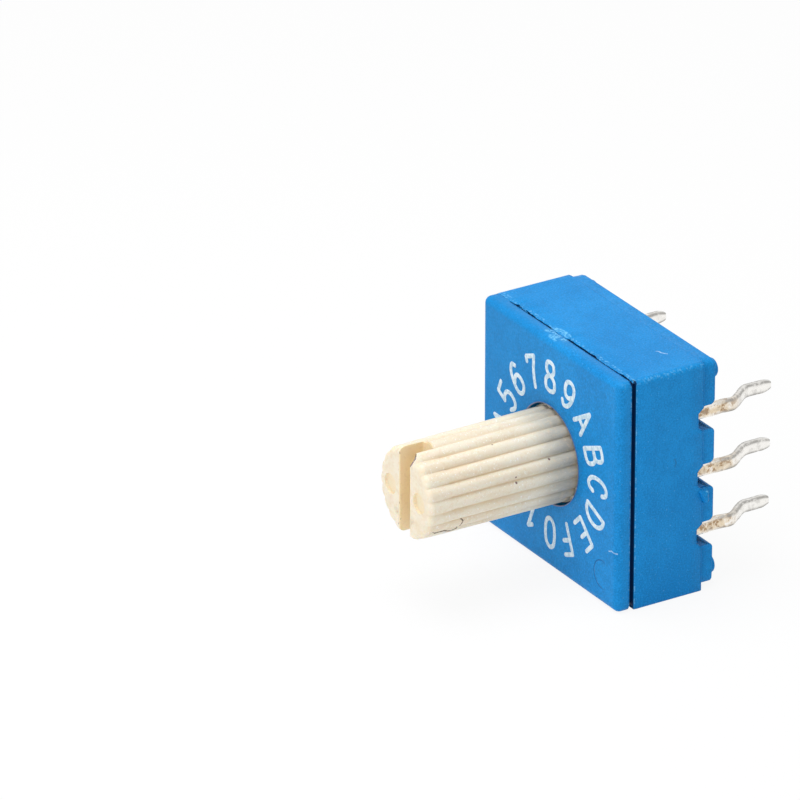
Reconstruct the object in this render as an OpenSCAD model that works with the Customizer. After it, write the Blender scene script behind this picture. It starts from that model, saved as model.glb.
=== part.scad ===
// Sixteen-position rotary coded switch, 10 mm square, for a printed circuit board.
// The shaft points along -Y, the solder pins along +Y, and Z is up with the switch on its side.
// Depths are counted along +Y from the front face of the cover; the origin lies on the shaft
// axis, in the plane of the standoff pips that rest on the board.

/* [Body] */
// Side of the square cover and case
body_w = 10; // [9.8:0.05:11]
// Radius of the four corners, seen from the front
corner_r = 0.25; // [0.1:0.05:0.6]
// Thickness of the front cover
cover_t = 0.62; // [0.5:0.02:0.8]
// Radius of the rounded front edges of the cover
cover_edge_r = 0.3; // [0.1:0.05:0.4]
// Width of the groove between cover and case
seam_gap = 0.16; // [0.08:0.02:0.3]
// Depth of that groove, inwards from the outer face
seam_depth = 0.25; // [0.1:0.05:0.5]
// Length of the outer face of the case, from groove to base
case_len = 3.25; // [3.15:0.05:4]
// Wall thickness of the case
case_wall = 0.85; // [0.7:0.05:0.95]
// Gap between the corner pillars of the case and the terminals next to them
pillar_gap = 0.11; // [0.05:0.01:0.2]
// Gap between parts that slide into one another
fit_gap = 0.05; // [0.02:0.01:0.08]

/* [Cover] */
// Radius of the hole for the shaft
hole_r = 2.1; // [2.08:0.01:2.2]
// Radius of the posts that pin the cover to the case
post_r = 0.35; // [0.25:0.05:0.4]
// Length of those posts behind the cover
post_len = 1.0; // [0.6:0.1:1.6]
// Wall of the ring behind the cover that holds the seal
gland_wall = 0.4; // [0.3:0.05:0.5]

/* [Base] */
// Step from the case down to the base rim
rim_inset = 0.12; // [0.08:0.01:0.2]
// How far the rim and its pips sit above the middle of the case
rim_lift = 0.06; // [0:0.01:0.08]
// Height of the base rim behind the case
rim_h = 0.59; // [0.4:0.01:0.8]
// Width of the rim, inwards from its outer face
rim_w = 0.95; // [0.8:0.05:1.1]
// Radius of the rear corners of the rim blocks
rim_r = 0.15; // [0.05:0.05:0.25]
// Width of the notches that the terminals leave through
notch_w = 1.05; // [0.8:0.05:1.4]
// Depth of the recess behind the base that the sealing resin fills
resin_bed = 0.5; // [0.3:0.05:0.55]
// Thickness of the sealing resin
resin_t = 0.28; // [0.15:0.01:0.3]
// Thickness of the base plate inside the case
plate_t = 0.95; // [0.9:0.05:1.1]
// Radius of the standoff pips
pip_r = 0.4; // [0.3:0.05:0.5]
// Height of the standoff pips above the rim
pip_h = 0.28; // [0.15:0.01:0.4]
// Distance of the middle of each pip from the side faces
pip_inset = 0.7; // [0.65:0.05:0.9]
// Radius of the rounded edge of a pip
pip_edge_r = 0.12; // [0.04:0.02:0.14]
// Length of the latch nub along the side of the rim
nub_len = 0.5; // [0.3:0.05:0.7]
// Height of the latch nub above the side of the rim
nub_h = 0.3; // [0.15:0.01:0.35]
// Radius of the round nose of the nub
nose_r = 0.12; // [0.08:0.01:0.14]
// Height of the middle of the nub below the shaft axis
nub_drop = 0.86; // [0.85:0.01:1.1]

/* [Rotor] */
// Radius over the crests of the serrated shaft
shaft_r = 1.93; // [1.85:0.01:1.96]
// Length of the shaft in front of the cover
shaft_len = 6.74; // [4:0.02:12]
// Number of tooth places around the shaft
teeth = 20; // [16:1:22]
// Radius of the round crest of a tooth
tooth_r = 0.27; // [0.24:0.01:0.3]
// Radius of the shaft at the bottom of the grooves
root_r = 1.75; // [1.7:0.01:1.8]
// Width of the channel in place of the missing tooth
channel_w = 0.64; // [0.4:0.02:0.7]
// Distance of the channel floor from the shaft axis
channel_floor = 1.25; // [1:0.05:1.5]
// Radius of the rounded edge of the tip
tip_r = 0.28; // [0.1:0.02:0.4]
// Width of the screwdriver slot
slot_w = 0.76; // [0.6:0.02:0.85]
// Depth of the screwdriver slot
slot_depth = 1.15; // [0.8:0.05:1.5]
// Radius of the two round recesses in the tip
dimple_r = 0.37; // [0.25:0.01:0.4]
// Distance of those recesses from the axis
dimple_at = 1.06; // [0.95:0.01:1.1]
// Depth of the recesses in the tip
dimple_depth = 0.06; // [0.02:0.01:0.15]
// Radius of the two small marks beside the slot
mark_r = 0.17; // [0.1:0.01:0.2]
// Distance of the front end of the journal behind the cover face
journal_start = 0.2; // [0.05:0.05:0.4]
// Gap between the journal and the cover hole
journal_gap = 0.08; // [0.04:0.01:0.1]
// Thickness of the detent flange
flange_t = 0.65; // [0.5:0.05:0.7]
// Number of switching positions
positions = 16; // [10:1:16]
// Radius of a detent notch in the flange rim
detent_r = 0.3; // [0.24:0.01:0.32]
// Radius of the hub that carries the code disc
hub_r = 1.1; // [1:0.05:1.2]
// Width across the two flats of the hub
hub_flats = 1.7; // [1.5:0.05:1.9]
// Radius of the rear pivot
pivot_r = 0.6; // [0.5:0.05:0.8]
// Length of the pivot inside the base
pivot_len = 0.45; // [0.3:0.05:0.5]
// Gap between the pivot and its bore in the base
pivot_gap = 0.04; // [0.02:0.01:0.06]

/* [Seal and springs] */
// Thickness of the seal ring
seal_d = 0.5; // [0.4:0.05:0.55]
// Thickness of the detent spring strip
spring_t = 0.12; // [0.08:0.01:0.15]
// Height of the detent spring strip along the shaft
spring_h = 0.5; // [0.3:0.05:0.55]
// Bow of the detent spring between its ends and its middle
spring_bow = 0.28; // [0.2:0.02:0.32]
// Gap between the middle of the spring strip and the rim of the flange
spring_room = 0.25; // [0.2:0.01:0.3]
// Gap between the spring bump and its notch
detent_gap = 0.04; // [0.02:0.01:0.06]

/* [Code disc] */
// Step from the rim of the flange down to the insulating disc
disc_step = 0.2; // [0.1:0.05:0.25]
// Thickness of the insulating disc
disc_t = 0.4; // [0.3:0.05:0.5]
// Thickness of the coded metal plate
code_t = 0.1; // [0.05:0.01:0.15]
// Radius of the inner edge of the first code track
track_start = 1.72; // [1.65:0.01:1.75]
// Radial pitch of the code tracks
track_pitch = 0.36; // [0.3:0.01:0.37]
// Radial width of the windows in a track
window_w = 0.26; // [0.15:0.01:0.28]

/* [Contacts] */
// Thickness of the contact strips
arm_t = 0.1; // [0.06:0.01:0.12]
// Width of the contact strips
arm_w = 0.4; // [0.3:0.05:0.5]
// Length of the pad that carries a contact strip
pad_len = 0.75; // [0.6:0.05:0.9]
// Gap between a contact tip and the coded plate
contact_gap = 0.03; // [0.02:0.01:0.05]

/* [Terminals] */
// Distance between neighbouring pins in a row
pin_pitch = 2.54; // [2.5:0.01:2.6]
// Distance between the two rows at the pin tips
row_gap = 7.62; // [7.4:0.02:7.8]
// Width of a terminal strip
pin_w = 0.54; // [0.5:0.02:0.7]
// Thickness of a terminal strip
pin_t = 0.25; // [0.2:0.01:0.28]
// Distance of the middle of a leg from the side face, before its bend
leg_inset = 0.55; // [0.5:0.01:0.6]
// Inner radius of the corner where a strip turns into its leg
bend_r = 0.08; // [0.04:0.01:0.1]
// Gap between a terminal and the room for it in the base
slot_gap = 0.03; // [0.02:0.01:0.05]
// Gap between the inner wall of the case and the riser of a terminal
riser_gap = 0.2; // [0.15:0.01:0.25]
// Length of the pins behind the board seat
pin_len = 3.06; // [2.8:0.02:4]
// Distance behind the board seat where the leg starts to bend in
joggle_start = 0.7; // [0.3:0.05:0.9]
// Length of the inward bend of a leg
joggle_len = 1.3; // [1.1:0.05:1.6]
// Width of a leg past its bend
leg_w = 0.5; // [0.4:0.02:0.5]
// Width of a pin at its very tip
pin_tip_w = 0.34; // [0.2:0.02:0.5]
// Length of the taper at the tip
pin_taper = 0.35; // [0.2:0.05:0.6]

/* [Hidden] */

$fn = 48;
fine_fn = 96;
over = 0.01;
half = body_w / 2;
cavity = half - case_wall;
case_front = cover_t + seam_gap;
case_rear = case_front + case_len;
rim_out = half - rim_inset;
rim_rear = case_rear + rim_h;
seat = rim_rear + pip_h;
pip_at = half - pip_inset;
pillar_in = pin_pitch + pin_w / 2 + pillar_gap;
pillar_w = cavity - pillar_in;
post_at = cavity - pillar_w / 2;
plate_front = case_rear - plate_t;
plate_half = cavity - fit_gap;

journal_r = hole_r - journal_gap;
seal_r = journal_r + fit_gap / 2 + seal_d / 2;
gland_in = seal_r + seal_d / 2 + fit_gap / 2;
gland_rear = cover_t + seal_d + fit_gap;
flange_r = cavity - spring_bow - spring_t - spring_room;
flange_front = gland_rear + fit_gap;
flange_rear = flange_front + flange_t;
disc_r = flange_r - disc_step;
disc_rear = flange_rear + disc_t;
code_rear = disc_rear + code_t;
hub_rear = code_rear + fit_gap;
pivot_rear = plate_front + pivot_len;
tracks = 4;
position_step = 360 / positions;
tooth_step = 360 / teeth;
missing_at = -90;

arm_front = code_rear + contact_gap;
pad_front = plate_front - pin_t;
arm_pad = pad_front - arm_t;
riser_x = cavity - riser_gap - pin_t;
strip_front = case_rear - pin_t;
leg_x = half - leg_inset;
tip_depth = seat + pin_len;
leg_narrow = seat + joggle_start + joggle_len / 2;

// Contact points on the coded plate, x and z, in the order 1, 2, 4, 8
track_r = [for (i = [0:tracks - 1]) track_start + track_pitch * (tracks - 1 - i) + window_w / 2];
touch_angle = [58, 120, 225, 312];
touch = [for (i = [0:tracks - 1]) track_r[i] * [cos(touch_angle[i]), sin(touch_angle[i])]];
common_r = (hub_r + fit_gap + track_start) / 2;

// Places an outline drawn in x and z between two depths
module slab(d0, d1) {
    translate([0, d1 - seat, 0])
        rotate([90, 0, 0])
            linear_extrude(height = d1 - d0)
                children();
}

// Turns a profile of radius and depth about the shaft axis
module turned() {
    translate([0, -seat, 0])
        rotate([-90, 0, 0])
            rotate_extrude($fn = fine_fn)
                children();
}

// Extrudes an outline of x and depth along z, between two heights
module upright(z0, z1) {
    translate([0, -seat, z0])
        linear_extrude(height = z1 - z0)
            children();
}

// Extrudes an outline of depth and z along x, between two places
module across(x0, x1) {
    translate([x0, -seat, 0])
        rotate([90, 0, 90])
            linear_extrude(height = x1 - x0)
                children();
}

// Square outline with round corners
module round_square(h, r) {
    square([2 * h, 2 * (h - r)], center = true);
    square([2 * (h - r), 2 * h], center = true);
    for (x = [-1, 1], z = [-1, 1])
        translate([x * (h - r), z * (h - r)])
            circle(r);
}

// Rectangle from a low corner to a high corner
module box2d(low, high) {
    translate(low)
        square(high - low);
}

// Outline with the two corners at its lower edge rounded
module round_front(h, d0, d1, r) {
    box2d([-h, d0 + r], [h, d1]);
    box2d([-h + r, d0], [h - r, d1]);
    for (x = [-1, 1])
        translate([x * (h - r), d0 + r])
            circle(r);
}

// Outline of depth and z whose two rear corners are rounded
module rim_block(z0, z1) {
    box2d([case_rear, z0], [rim_rear - rim_r, z1]);
    box2d([case_rear, z0 + rim_r], [rim_rear, z1 - rim_r]);
    for (z = [z0 + rim_r, z1 - rim_r])
        translate([rim_rear - rim_r, z])
            circle(rim_r);
}

module front_cover() {
    color("royalblue") {
        difference() {
            intersection() {
                slab(0, cover_t)
                    round_square(half, corner_r);
                upright(-half, half)
                    round_front(half, 0, cover_t, cover_edge_r);
                across(-half, half)
                    rotate(90)
                        mirror([0, 1])
                            round_front(half, 0, cover_t, cover_edge_r);
            }
            slab(-over, cover_t + over)
                circle(hole_r, $fn = fine_fn);
        }
        difference() {
            slab(cover_t, gland_rear)
                circle(gland_in + gland_wall, $fn = fine_fn);
            slab(cover_t - over, gland_rear + over)
                circle(gland_in, $fn = fine_fn);
        }
        for (x = [-post_at, post_at], z = [-post_at, post_at])
            slab(cover_t, cover_t + post_len)
                translate([x, z])
                    circle(post_r);
    }
}

module case() {
    color("royalblue")
        difference() {
            union() {
                slab(case_front, case_rear)
                    round_square(half, corner_r);
                slab(cover_t, case_front)
                    square(2 * (half - seam_depth), center = true);
            }
            difference() {
                slab(cover_t - over, case_rear + over)
                    square(2 * cavity, center = true);
                for (x = [-1, 1], z = [-1, 1])
                    slab(cover_t - over, plate_front)
                        translate([x * (cavity + pillar_in) / 2, z * (cavity + pillar_in) / 2])
                            square(pillar_w, center = true);
            }
            for (x = [-post_at, post_at], z = [-post_at, post_at])
                slab(cover_t - over, cover_t + post_len + fit_gap)
                    translate([x, z])
                        circle(post_r + fit_gap / 2);
            for (z = [-pin_pitch, 0, pin_pitch])
                across(-half - over, half + over)
                    case_notch(z);
        }
}

// Notch in the rear edge of the case, as wide as a terminal strip at its floor
module case_notch(z) {
    floor_half = pin_w / 2 + slot_gap;
    polygon([
        [strip_front, z - floor_half], [case_rear + over, z - notch_w / 2],
        [case_rear + over, z + notch_w / 2], [strip_front, z + floor_half]
    ]);
}

// Room for one terminal in the base plate, open towards the case notch
module terminal_room(side, z) {
    scale([side, 1, 1]) {
        upright(z - pin_w / 2 - slot_gap, z + pin_w / 2 + slot_gap) {
            box2d([riser_x - pin_t / 2 - slot_gap, plate_front - over],
                  [riser_x + pin_t / 2 + slot_gap, case_rear]);
            box2d([riser_x, strip_front - slot_gap], [half, case_rear]);
        }
    }
}

module base() {
    color("royalblue")
        difference() {
            union() {
                slab(plate_front, case_rear)
                    square(2 * plate_half, center = true);
                across(-rim_out, rim_out)
                    rim_block(rim_lift - rim_out, rim_lift + rim_out);
                for (x = [-pip_at, pip_at], z = [-pip_at, pip_at])
                    translate([x, 0, z + rim_lift])
                        turned()
                            pip_profile();
                for (side = [-1, 1])
                    latch_nub(side);
            }
            slab(rim_rear - resin_bed, rim_rear + over)
                square([2 * (rim_out - rim_w), 2 * (rim_out - rim_w)], center = true);
            for (side = [-1, 1], z = [-pin_pitch, 0, pin_pitch]) {
                across(side < 0 ? -half : rim_out - rim_w, side < 0 ? rim_w - rim_out : half)
                    notch_profile(z);
                terminal_room(side, z);
            }
            slab(plate_front - over, pivot_rear + fit_gap)
                circle(pivot_r + pivot_gap);
        }
}

// Half outline of a standoff pip, radius and depth, with a rounded edge
module pip_profile() {
    box2d([0, rim_rear - rim_r], [pip_r, seat - pip_edge_r]);
    box2d([0, rim_rear - rim_r], [pip_r - pip_edge_r, seat]);
    intersection() {
        translate([pip_r - pip_edge_r, seat - pip_edge_r])
            circle(pip_edge_r);
        box2d([0, rim_rear - rim_r], [pip_r, seat]);
    }
}

// Notch in the rim for one terminal, open to the rear, with round upper edges
module notch_profile(z) {
    w = notch_w / 2;
    box2d([case_rear - over, z - w], [seat, z + w]);
    for (s = [-1, 1])
        difference() {
            translate([rim_rear - rim_r, z + s * w - (s < 0 ? rim_r : 0)])
                square([2 * rim_r, rim_r]);
            translate([rim_rear - rim_r, z + s * (w + rim_r)])
                circle(rim_r);
        }
}

// Latch nub on the side of the rim, a low wedge with a round nose
module latch_nub(side) {
    reach = rim_out + nub_h;
    upright(-nub_drop - nub_len / 2, -nub_drop + nub_len / 2)
        scale([side, 1]) {
            polygon([
                [rim_out - over, case_rear], [reach - nose_r, case_rear],
                [reach - nose_r, case_rear + 2 * nose_r], [rim_out - over, rim_rear - rim_r]
            ]);
            translate([reach - nose_r, case_rear + nose_r])
                circle(nose_r);
        }
}

module base_resin() {
    color("dimgray")
        slab(rim_rear - resin_bed, rim_rear - resin_bed + resin_t)
            square(2 * (rim_out - rim_w), center = true);
}

// Outline of the serrated shaft, with one tooth missing at the channel
module serrated() {
    difference() {
        union() {
            circle(root_r, $fn = fine_fn);
            for (i = [1:teeth - 1])
                rotate(missing_at + i * tooth_step)
                    translate([shaft_r - tooth_r, 0])
                        circle(tooth_r, $fn = 24);
        }
        box2d([-channel_w / 2, -shaft_r - over], [channel_w / 2, -channel_floor]);
    }
}

// Half outline of a rod whose front edge is rounded, radius and depth
module tip_profile() {
    box2d([0, -shaft_len + tip_r], [shaft_r + over, journal_start]);
    box2d([0, -shaft_len], [shaft_r + over - tip_r, journal_start]);
    intersection() {
        translate([shaft_r + over - tip_r, -shaft_len + tip_r])
            circle(tip_r);
        box2d([0, -shaft_len], [shaft_r + over, journal_start]);
    }
}

module rotor() {
    color("bisque")
        difference() {
            union() {
                intersection() {
                    slab(-shaft_len, journal_start)
                        serrated();
                    turned()
                        tip_profile();
                }
                turned() {
                    box2d([0, journal_start], [journal_r, flange_front]);
                    box2d([0, flange_front], [flange_r, flange_rear]);
                    box2d([0, plate_front - fit_gap], [pivot_r, pivot_rear]);
                }
                slab(flange_rear, hub_rear)
                    hub_outline(0);
                turned()
                    box2d([0, hub_rear], [pivot_r, plate_front]);
            }
            slab(-shaft_len - over, -shaft_len + slot_depth)
                square([slot_w, 2 * (shaft_r + over)], center = true);
            for (x = [-1, 1]) {
                slab(-shaft_len - over, -shaft_len + dimple_depth)
                    translate([x * dimple_at, 0])
                        circle(dimple_r);
                slab(-shaft_len - over, -shaft_len + dimple_depth)
                    translate([x * (slot_w / 2 + mark_r), -dimple_at])
                        circle(mark_r);
            }
            for (i = [0:positions - 1])
                slab(flange_front - over, flange_rear + over)
                    rotate(i * position_step)
                        translate([flange_r, 0])
                            circle(detent_r, $fn = 32);
        }
}

// Hub outline with two flats, larger all round by the given gap
module hub_outline(gap) {
    intersection() {
        circle(hub_r + gap);
        square([hub_flats + 2 * gap, 2 * (hub_r + gap)], center = true);
    }
}

module shaft_seal() {
    color("dimgray")
        turned()
            translate([seal_r, cover_t + seal_d / 2])
                circle(seal_d / 2, $fn = 24);
}

// Bowed strip between two pillars whose middle bump drops into a detent notch
module detent_spring(side) {
    reach = pillar_in - fit_gap;
    mid = cavity - spring_t / 2 - spring_bow;
    bow_r = (reach * reach + spring_bow * spring_bow) / (2 * spring_bow);
    bump_r = detent_r - detent_gap;
    depth = (flange_front + flange_rear - spring_h) / 2;
    slab(depth, depth + spring_h)
        scale([side, 1]) {
            intersection() {
                translate([mid + bow_r, 0])
                    difference() {
                        circle(bow_r + spring_t / 2, $fn = 256);
                        circle(bow_r - spring_t / 2, $fn = 256);
                    }
                box2d([0, -reach], [cavity, reach]);
            }
            translate([flange_r, 0])
                difference() {
                    circle(bump_r, $fn = 32);
                    circle(bump_r - spring_t, $fn = 32);
                    box2d([mid - flange_r, -bump_r], [bump_r, bump_r]);
                }
        }
}

module detent_spring_left() {
    color("silver")
        detent_spring(-1);
}

module detent_spring_right() {
    color("silver")
        detent_spring(1);
}

module code_disc() {
    color("seagreen")
        slab(flange_rear, disc_rear)
            difference() {
                circle(disc_r, $fn = fine_fn);
                hub_outline(fit_gap / 2);
            }
}

// Ring sector between two radii and two angles, turned from a small rectangle
module sector(r0, r1, a0, a1) {
    translate([0, code_rear + over - seat, 0])
        rotate([90, 0, 0])
            rotate([0, 0, a0])
                rotate_extrude(angle = a1 - a0)
                    box2d([r0, 0], [r1, code_t + 2 * over]);
}

// Angle over which a bit of the code keeps its value
function run_width(bit) = pow(2, bit) * position_step;

// Coded plate: in each track a window stands where the code has a zero
module code_plate() {
    color("gold")
        difference() {
            slab(disc_rear, code_rear)
                difference() {
                    circle(track_start + tracks * track_pitch, $fn = fine_fn);
                    hub_outline(fit_gap / 2);
                }
            for (bit = [0:tracks - 1])
                for (run = [0:pow(2, tracks - 1 - bit) - 1])
                    code_window(bit, touch_angle[bit] + 2 * run * run_width(bit), run_width(bit));
        }
}

// One window of a track, which starts half a step before its first position
module code_window(bit, start, width) {
    inner = track_start + track_pitch * (tracks - 1 - bit);
    from = start - position_step / 2;
    sector(inner, inner + window_w, from, from + width);
}

// Strip from the pad of a terminal to its contact point, with a ramp up to the coded plate
module contact_arm(side, z, point) {
    pad_x = riser_x - pin_t / 2 - pad_len / 2;
    from = [side * pad_x, z];
    run = point - from;
    len = norm(run);
    foot = pad_len / 2;
    rise = arm_pad - arm_front;
    slope_end = len - arm_w / 2;
    color("goldenrod") {
        slab(arm_pad, pad_front)
            translate(from)
                square([pad_len, arm_w], center = true);
        translate([from[0], 0, from[1]])
            rotate([0, -atan2(run[1], run[0]), 0])
                upright(-arm_w / 2, arm_w / 2)
                    polygon([
                        [0, pad_front], [0, arm_pad], [foot, arm_pad], [slope_end, arm_front],
                        [len + arm_w / 2, arm_front], [len + arm_w / 2, arm_front + arm_t],
                        [slope_end + arm_t * rise / len, arm_front + arm_t], [foot + arm_t, pad_front]
                    ]);
    }
}

module contact_1() {
    contact_arm(1, pin_pitch, touch[0]);
}

module contact_2() {
    contact_arm(-1, pin_pitch, touch[1]);
}

module contact_4() {
    contact_arm(-1, -pin_pitch, touch[2]);
}

module contact_8() {
    contact_arm(1, -pin_pitch, touch[3]);
}

module contact_common_left() {
    contact_arm(-1, 0, [-common_r, 0]);
}

module contact_common_right() {
    contact_arm(1, 0, [common_r, 0]);
}

// Middle line of a leg: straight, then an S bend inwards, then straight to the tip
function joggle(d) = let (t = min(max((d - seat - joggle_start) / joggle_len, 0), 1))
    (1 - cos(180 * t)) / 2;
function leg_mid(d) = leg_x - (leg_x - row_gap / 2) * joggle(d);
function leg_slope(d) = (leg_mid(d + over) - leg_mid(d - over)) / (2 * over);
function leg_edge(d, s) = let (m = leg_slope(d), k = sqrt(1 + m * m))
    [leg_mid(d) + s * pin_t / 2 / k, d - s * pin_t / 2 * m / k];

// One stamped terminal: pad, riser, strip through the case wall, bend and leg
module terminal(side, z) {
    steps = 24;
    leg_start = case_rear + bend_r;
    depths = [for (i = [0:steps]) leg_start + (tip_depth - leg_start) * i / steps];
    inner_x = leg_x - pin_t / 2 - bend_r;
    color("silver")
        scale([side, 1, 1])
            intersection() {
                upright(z - pin_w / 2, z + pin_w / 2) {
                    box2d([riser_x - pin_t / 2 - pad_len, pad_front], [riser_x + pin_t / 2, plate_front]);
                    box2d([riser_x - pin_t / 2, plate_front], [riser_x + pin_t / 2, case_rear]);
                    box2d([riser_x, strip_front], [inner_x, case_rear]);
                    translate([inner_x, leg_start])
                        intersection() {
                            difference() {
                                circle(pin_t + bend_r);
                                circle(bend_r);
                            }
                            box2d([0, -pin_t - bend_r], [pin_t + bend_r, 0]);
                        }
                    polygon(concat(
                        [for (d = depths) leg_edge(d, 1)],
                        [for (i = [steps:-1:0]) leg_edge(depths[i], -1)]
                    ));
                }
                across(0, half)
                    polygon([
                        [0, z - pin_w / 2], [seat, z - pin_w / 2],
                        [leg_narrow, z - leg_w / 2], [tip_depth - pin_taper, z - leg_w / 2],
                        [tip_depth, z - pin_tip_w / 2], [tip_depth, z + pin_tip_w / 2],
                        [tip_depth - pin_taper, z + leg_w / 2], [leg_narrow, z + leg_w / 2],
                        [seat, z + pin_w / 2], [0, z + pin_w / 2]
                    ]);
            }
}

module terminal_1() {
    terminal(1, pin_pitch);
}

module terminal_2() {
    terminal(-1, pin_pitch);
}

module terminal_4() {
    terminal(-1, -pin_pitch);
}

module terminal_8() {
    terminal(1, -pin_pitch);
}

module terminal_common_left() {
    terminal(-1, 0);
}

module terminal_common_right() {
    terminal(1, 0);
}

front_cover();
case();
base();
base_resin();
rotor();
shaft_seal();
detent_spring_left();
detent_spring_right();
code_disc();
code_plate();
contact_1();
contact_2();
contact_4();
contact_8();
contact_common_left();
contact_common_right();
terminal_1();
terminal_2();
terminal_4();
terminal_8();
terminal_common_left();
terminal_common_right();
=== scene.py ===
import math

import bmesh
import bpy
import numpy as np
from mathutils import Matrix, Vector


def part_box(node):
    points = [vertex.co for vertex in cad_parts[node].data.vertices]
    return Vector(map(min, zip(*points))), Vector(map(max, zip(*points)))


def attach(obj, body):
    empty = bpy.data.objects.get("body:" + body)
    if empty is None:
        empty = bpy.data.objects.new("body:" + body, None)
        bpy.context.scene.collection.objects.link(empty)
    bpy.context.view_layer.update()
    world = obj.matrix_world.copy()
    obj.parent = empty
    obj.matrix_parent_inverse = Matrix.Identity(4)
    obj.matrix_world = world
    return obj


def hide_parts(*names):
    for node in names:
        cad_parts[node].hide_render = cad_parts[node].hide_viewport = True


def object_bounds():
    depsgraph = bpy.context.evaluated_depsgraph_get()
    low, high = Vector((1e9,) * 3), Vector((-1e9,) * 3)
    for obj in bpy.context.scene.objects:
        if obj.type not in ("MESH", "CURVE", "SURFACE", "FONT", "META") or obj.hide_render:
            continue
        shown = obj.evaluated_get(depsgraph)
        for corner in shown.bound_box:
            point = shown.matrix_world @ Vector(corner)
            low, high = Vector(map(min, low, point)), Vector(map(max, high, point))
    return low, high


# Rotary coded switch, dressed round its construction model. All sizes are in millimetres here:
# x to the right, z up, and depth counted from the front face of the cover towards the pins.
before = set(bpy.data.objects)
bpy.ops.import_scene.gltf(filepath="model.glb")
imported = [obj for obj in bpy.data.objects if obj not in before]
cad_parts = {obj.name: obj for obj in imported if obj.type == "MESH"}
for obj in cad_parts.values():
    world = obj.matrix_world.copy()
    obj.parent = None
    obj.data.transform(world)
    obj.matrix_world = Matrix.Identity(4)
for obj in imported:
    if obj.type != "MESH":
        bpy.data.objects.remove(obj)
cadLow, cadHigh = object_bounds()
mm = 0.001
weldGap = 2e-7   # metres, closes seams and poles


def nodeBox(node):
    # the low and high corners of a node, in millimetres
    return [np.array(corner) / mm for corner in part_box(node)]


coverBox = nodeBox("front_cover")
caseBox = nodeBox("case")
baseBox = nodeBox("base")
rotorBox = nodeBox("rotor")
stripBox = nodeBox("terminal_common_right")
faceY = coverBox[0][1]                 # front face of the cover
half = coverBox[1][0]                  # half the width of the body
coverRear = caseBox[0][1] - faceY      # depths from here on
caseRear = caseBox[1][1] - faceY
seatDepth = baseBox[1][1] - faceY
tipDepth = rotorBox[0][1] - faceY
pinEnd = stripBox[1][1] - faceY
print("frame loaded:", len(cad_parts), "nodes")


def place(x, depth, z):
    # grids of x, depth and z as points in metres, with depth counted from the front face
    x, depth, z = np.broadcast_arrays(x, depth, z)
    return np.stack([x, depth + faceY, z], -1) * mm


def polar(radius, angle, depth):
    # points at an angle round the shaft, at a radius and depth
    return place(radius * np.cos(angle), depth, radius * np.sin(angle))


def peg(centreX, centreZ, radii, depths, count):
    # a turned peg along the depth: a radius at each of its depths, the skin closed round the axis
    turn = np.linspace(0, 2 * math.pi, count + 1)[:-1]
    radii, depths = np.array(radii)[:, None], np.array(depths)[:, None]
    return place(centreX + radii * np.cos(turn), depths, centreZ + radii * np.sin(turn)), False, True


def gridFaces(rows, cols, closeRows, closeCols):
    # the four corners of every cell of a grid, going on past the last row or column where it closes
    index = np.arange(rows * cols).reshape(rows, cols)
    if closeRows:
        index = np.concatenate([index, index[:1]], 0)
    if closeCols:
        index = np.concatenate([index, index[:, :1]], 1)
    cells = [index[:-1, :-1], index[1:, :-1], index[1:, 1:], index[:-1, 1:]]
    return np.stack(cells, -1).reshape(-1, 4)


def makePiece(name, patches, material, body, node=None, sharpAngle=38, tones=None):
    # joins grids of points into one mesh, welds what meets and turns every face outwards;
    # tones are numbers from 0 to 1 for each point, which the material may read; the piece stands
    # in for the node where one is given
    points, faces, start = [], [], 0
    for grid, closeRows, closeCols in patches:
        rows, cols = grid.shape[:2]
        faces.append(gridFaces(rows, cols, closeRows, closeCols) + start)
        points.append(grid.reshape(-1, 3))
        start += rows * cols
    mesh = bpy.data.meshes.new(name)
    mesh.from_pydata(np.concatenate(points), [], np.concatenate(faces))
    if tones:
        values = np.concatenate([np.ravel(tone) for tone in tones]).astype(np.float32)
        mesh.attributes.new("tone", "FLOAT", "POINT").data.foreach_set("value", values)
    work = bmesh.new()
    work.from_mesh(mesh)
    bmesh.ops.remove_doubles(work, verts=work.verts, dist=weldGap)
    bmesh.ops.recalc_face_normals(work, faces=work.faces)
    work.to_mesh(mesh)
    work.free()
    mesh.polygons.foreach_set("use_smooth", np.ones(len(mesh.polygons), bool))
    mesh.set_sharp_from_angle(angle=math.radians(sharpAngle))
    mesh.materials.append(material)
    piece = bpy.data.objects.new(name, mesh)
    bpy.context.scene.collection.objects.link(piece)
    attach(piece, body)
    if node:
        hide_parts(node)
    print("made", name, len(mesh.polygons), "faces")


def arcSteps(count):
    # from 0 to 1 along a quarter circle: how far in and how far along at each step
    turn = np.linspace(0, math.pi / 2, count)
    return 1 - np.sin(turn), 1 - np.cos(turn)


def smoothStep(low, high, value):
    # 0 below low, 1 above high, and three squares less two cubes of the share between
    part = np.clip((value - low) / (high - low), 0, 1)
    return part * part * (3 - 2 * part)


def makeMaterial(name):
    material = bpy.data.materials.new(name)
    material.use_nodes = True
    shader = material.node_tree.nodes["Principled BSDF"]
    return material, material.node_tree, shader


def fillSockets(tree, node, sockets):
    # a value that comes out of another node is linked, a plain value is set on the socket
    for key, value in sockets.items():
        if isinstance(value, bpy.types.NodeSocket):
            tree.links.new(value, node.inputs[key])
        else:
            node.inputs[key].default_value = value


def addNode(tree, kind, sockets=None, **settings):
    node = tree.nodes.new(kind)
    for key, value in settings.items():
        setattr(node, key, value)
    fillSockets(tree, node, sockets or {})
    return node


def objectPoint(tree):
    return addNode(tree, "ShaderNodeTexCoord").outputs["Object"]


def noise(tree, point, scale, detail=3.0, roughness=0.55):
    # scale counts features per millimetre
    node = addNode(tree, "ShaderNodeTexNoise",
                   {"Vector": point, "Scale": scale / mm, "Detail": detail, "Roughness": roughness})
    return node.outputs["Fac"]


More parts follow.
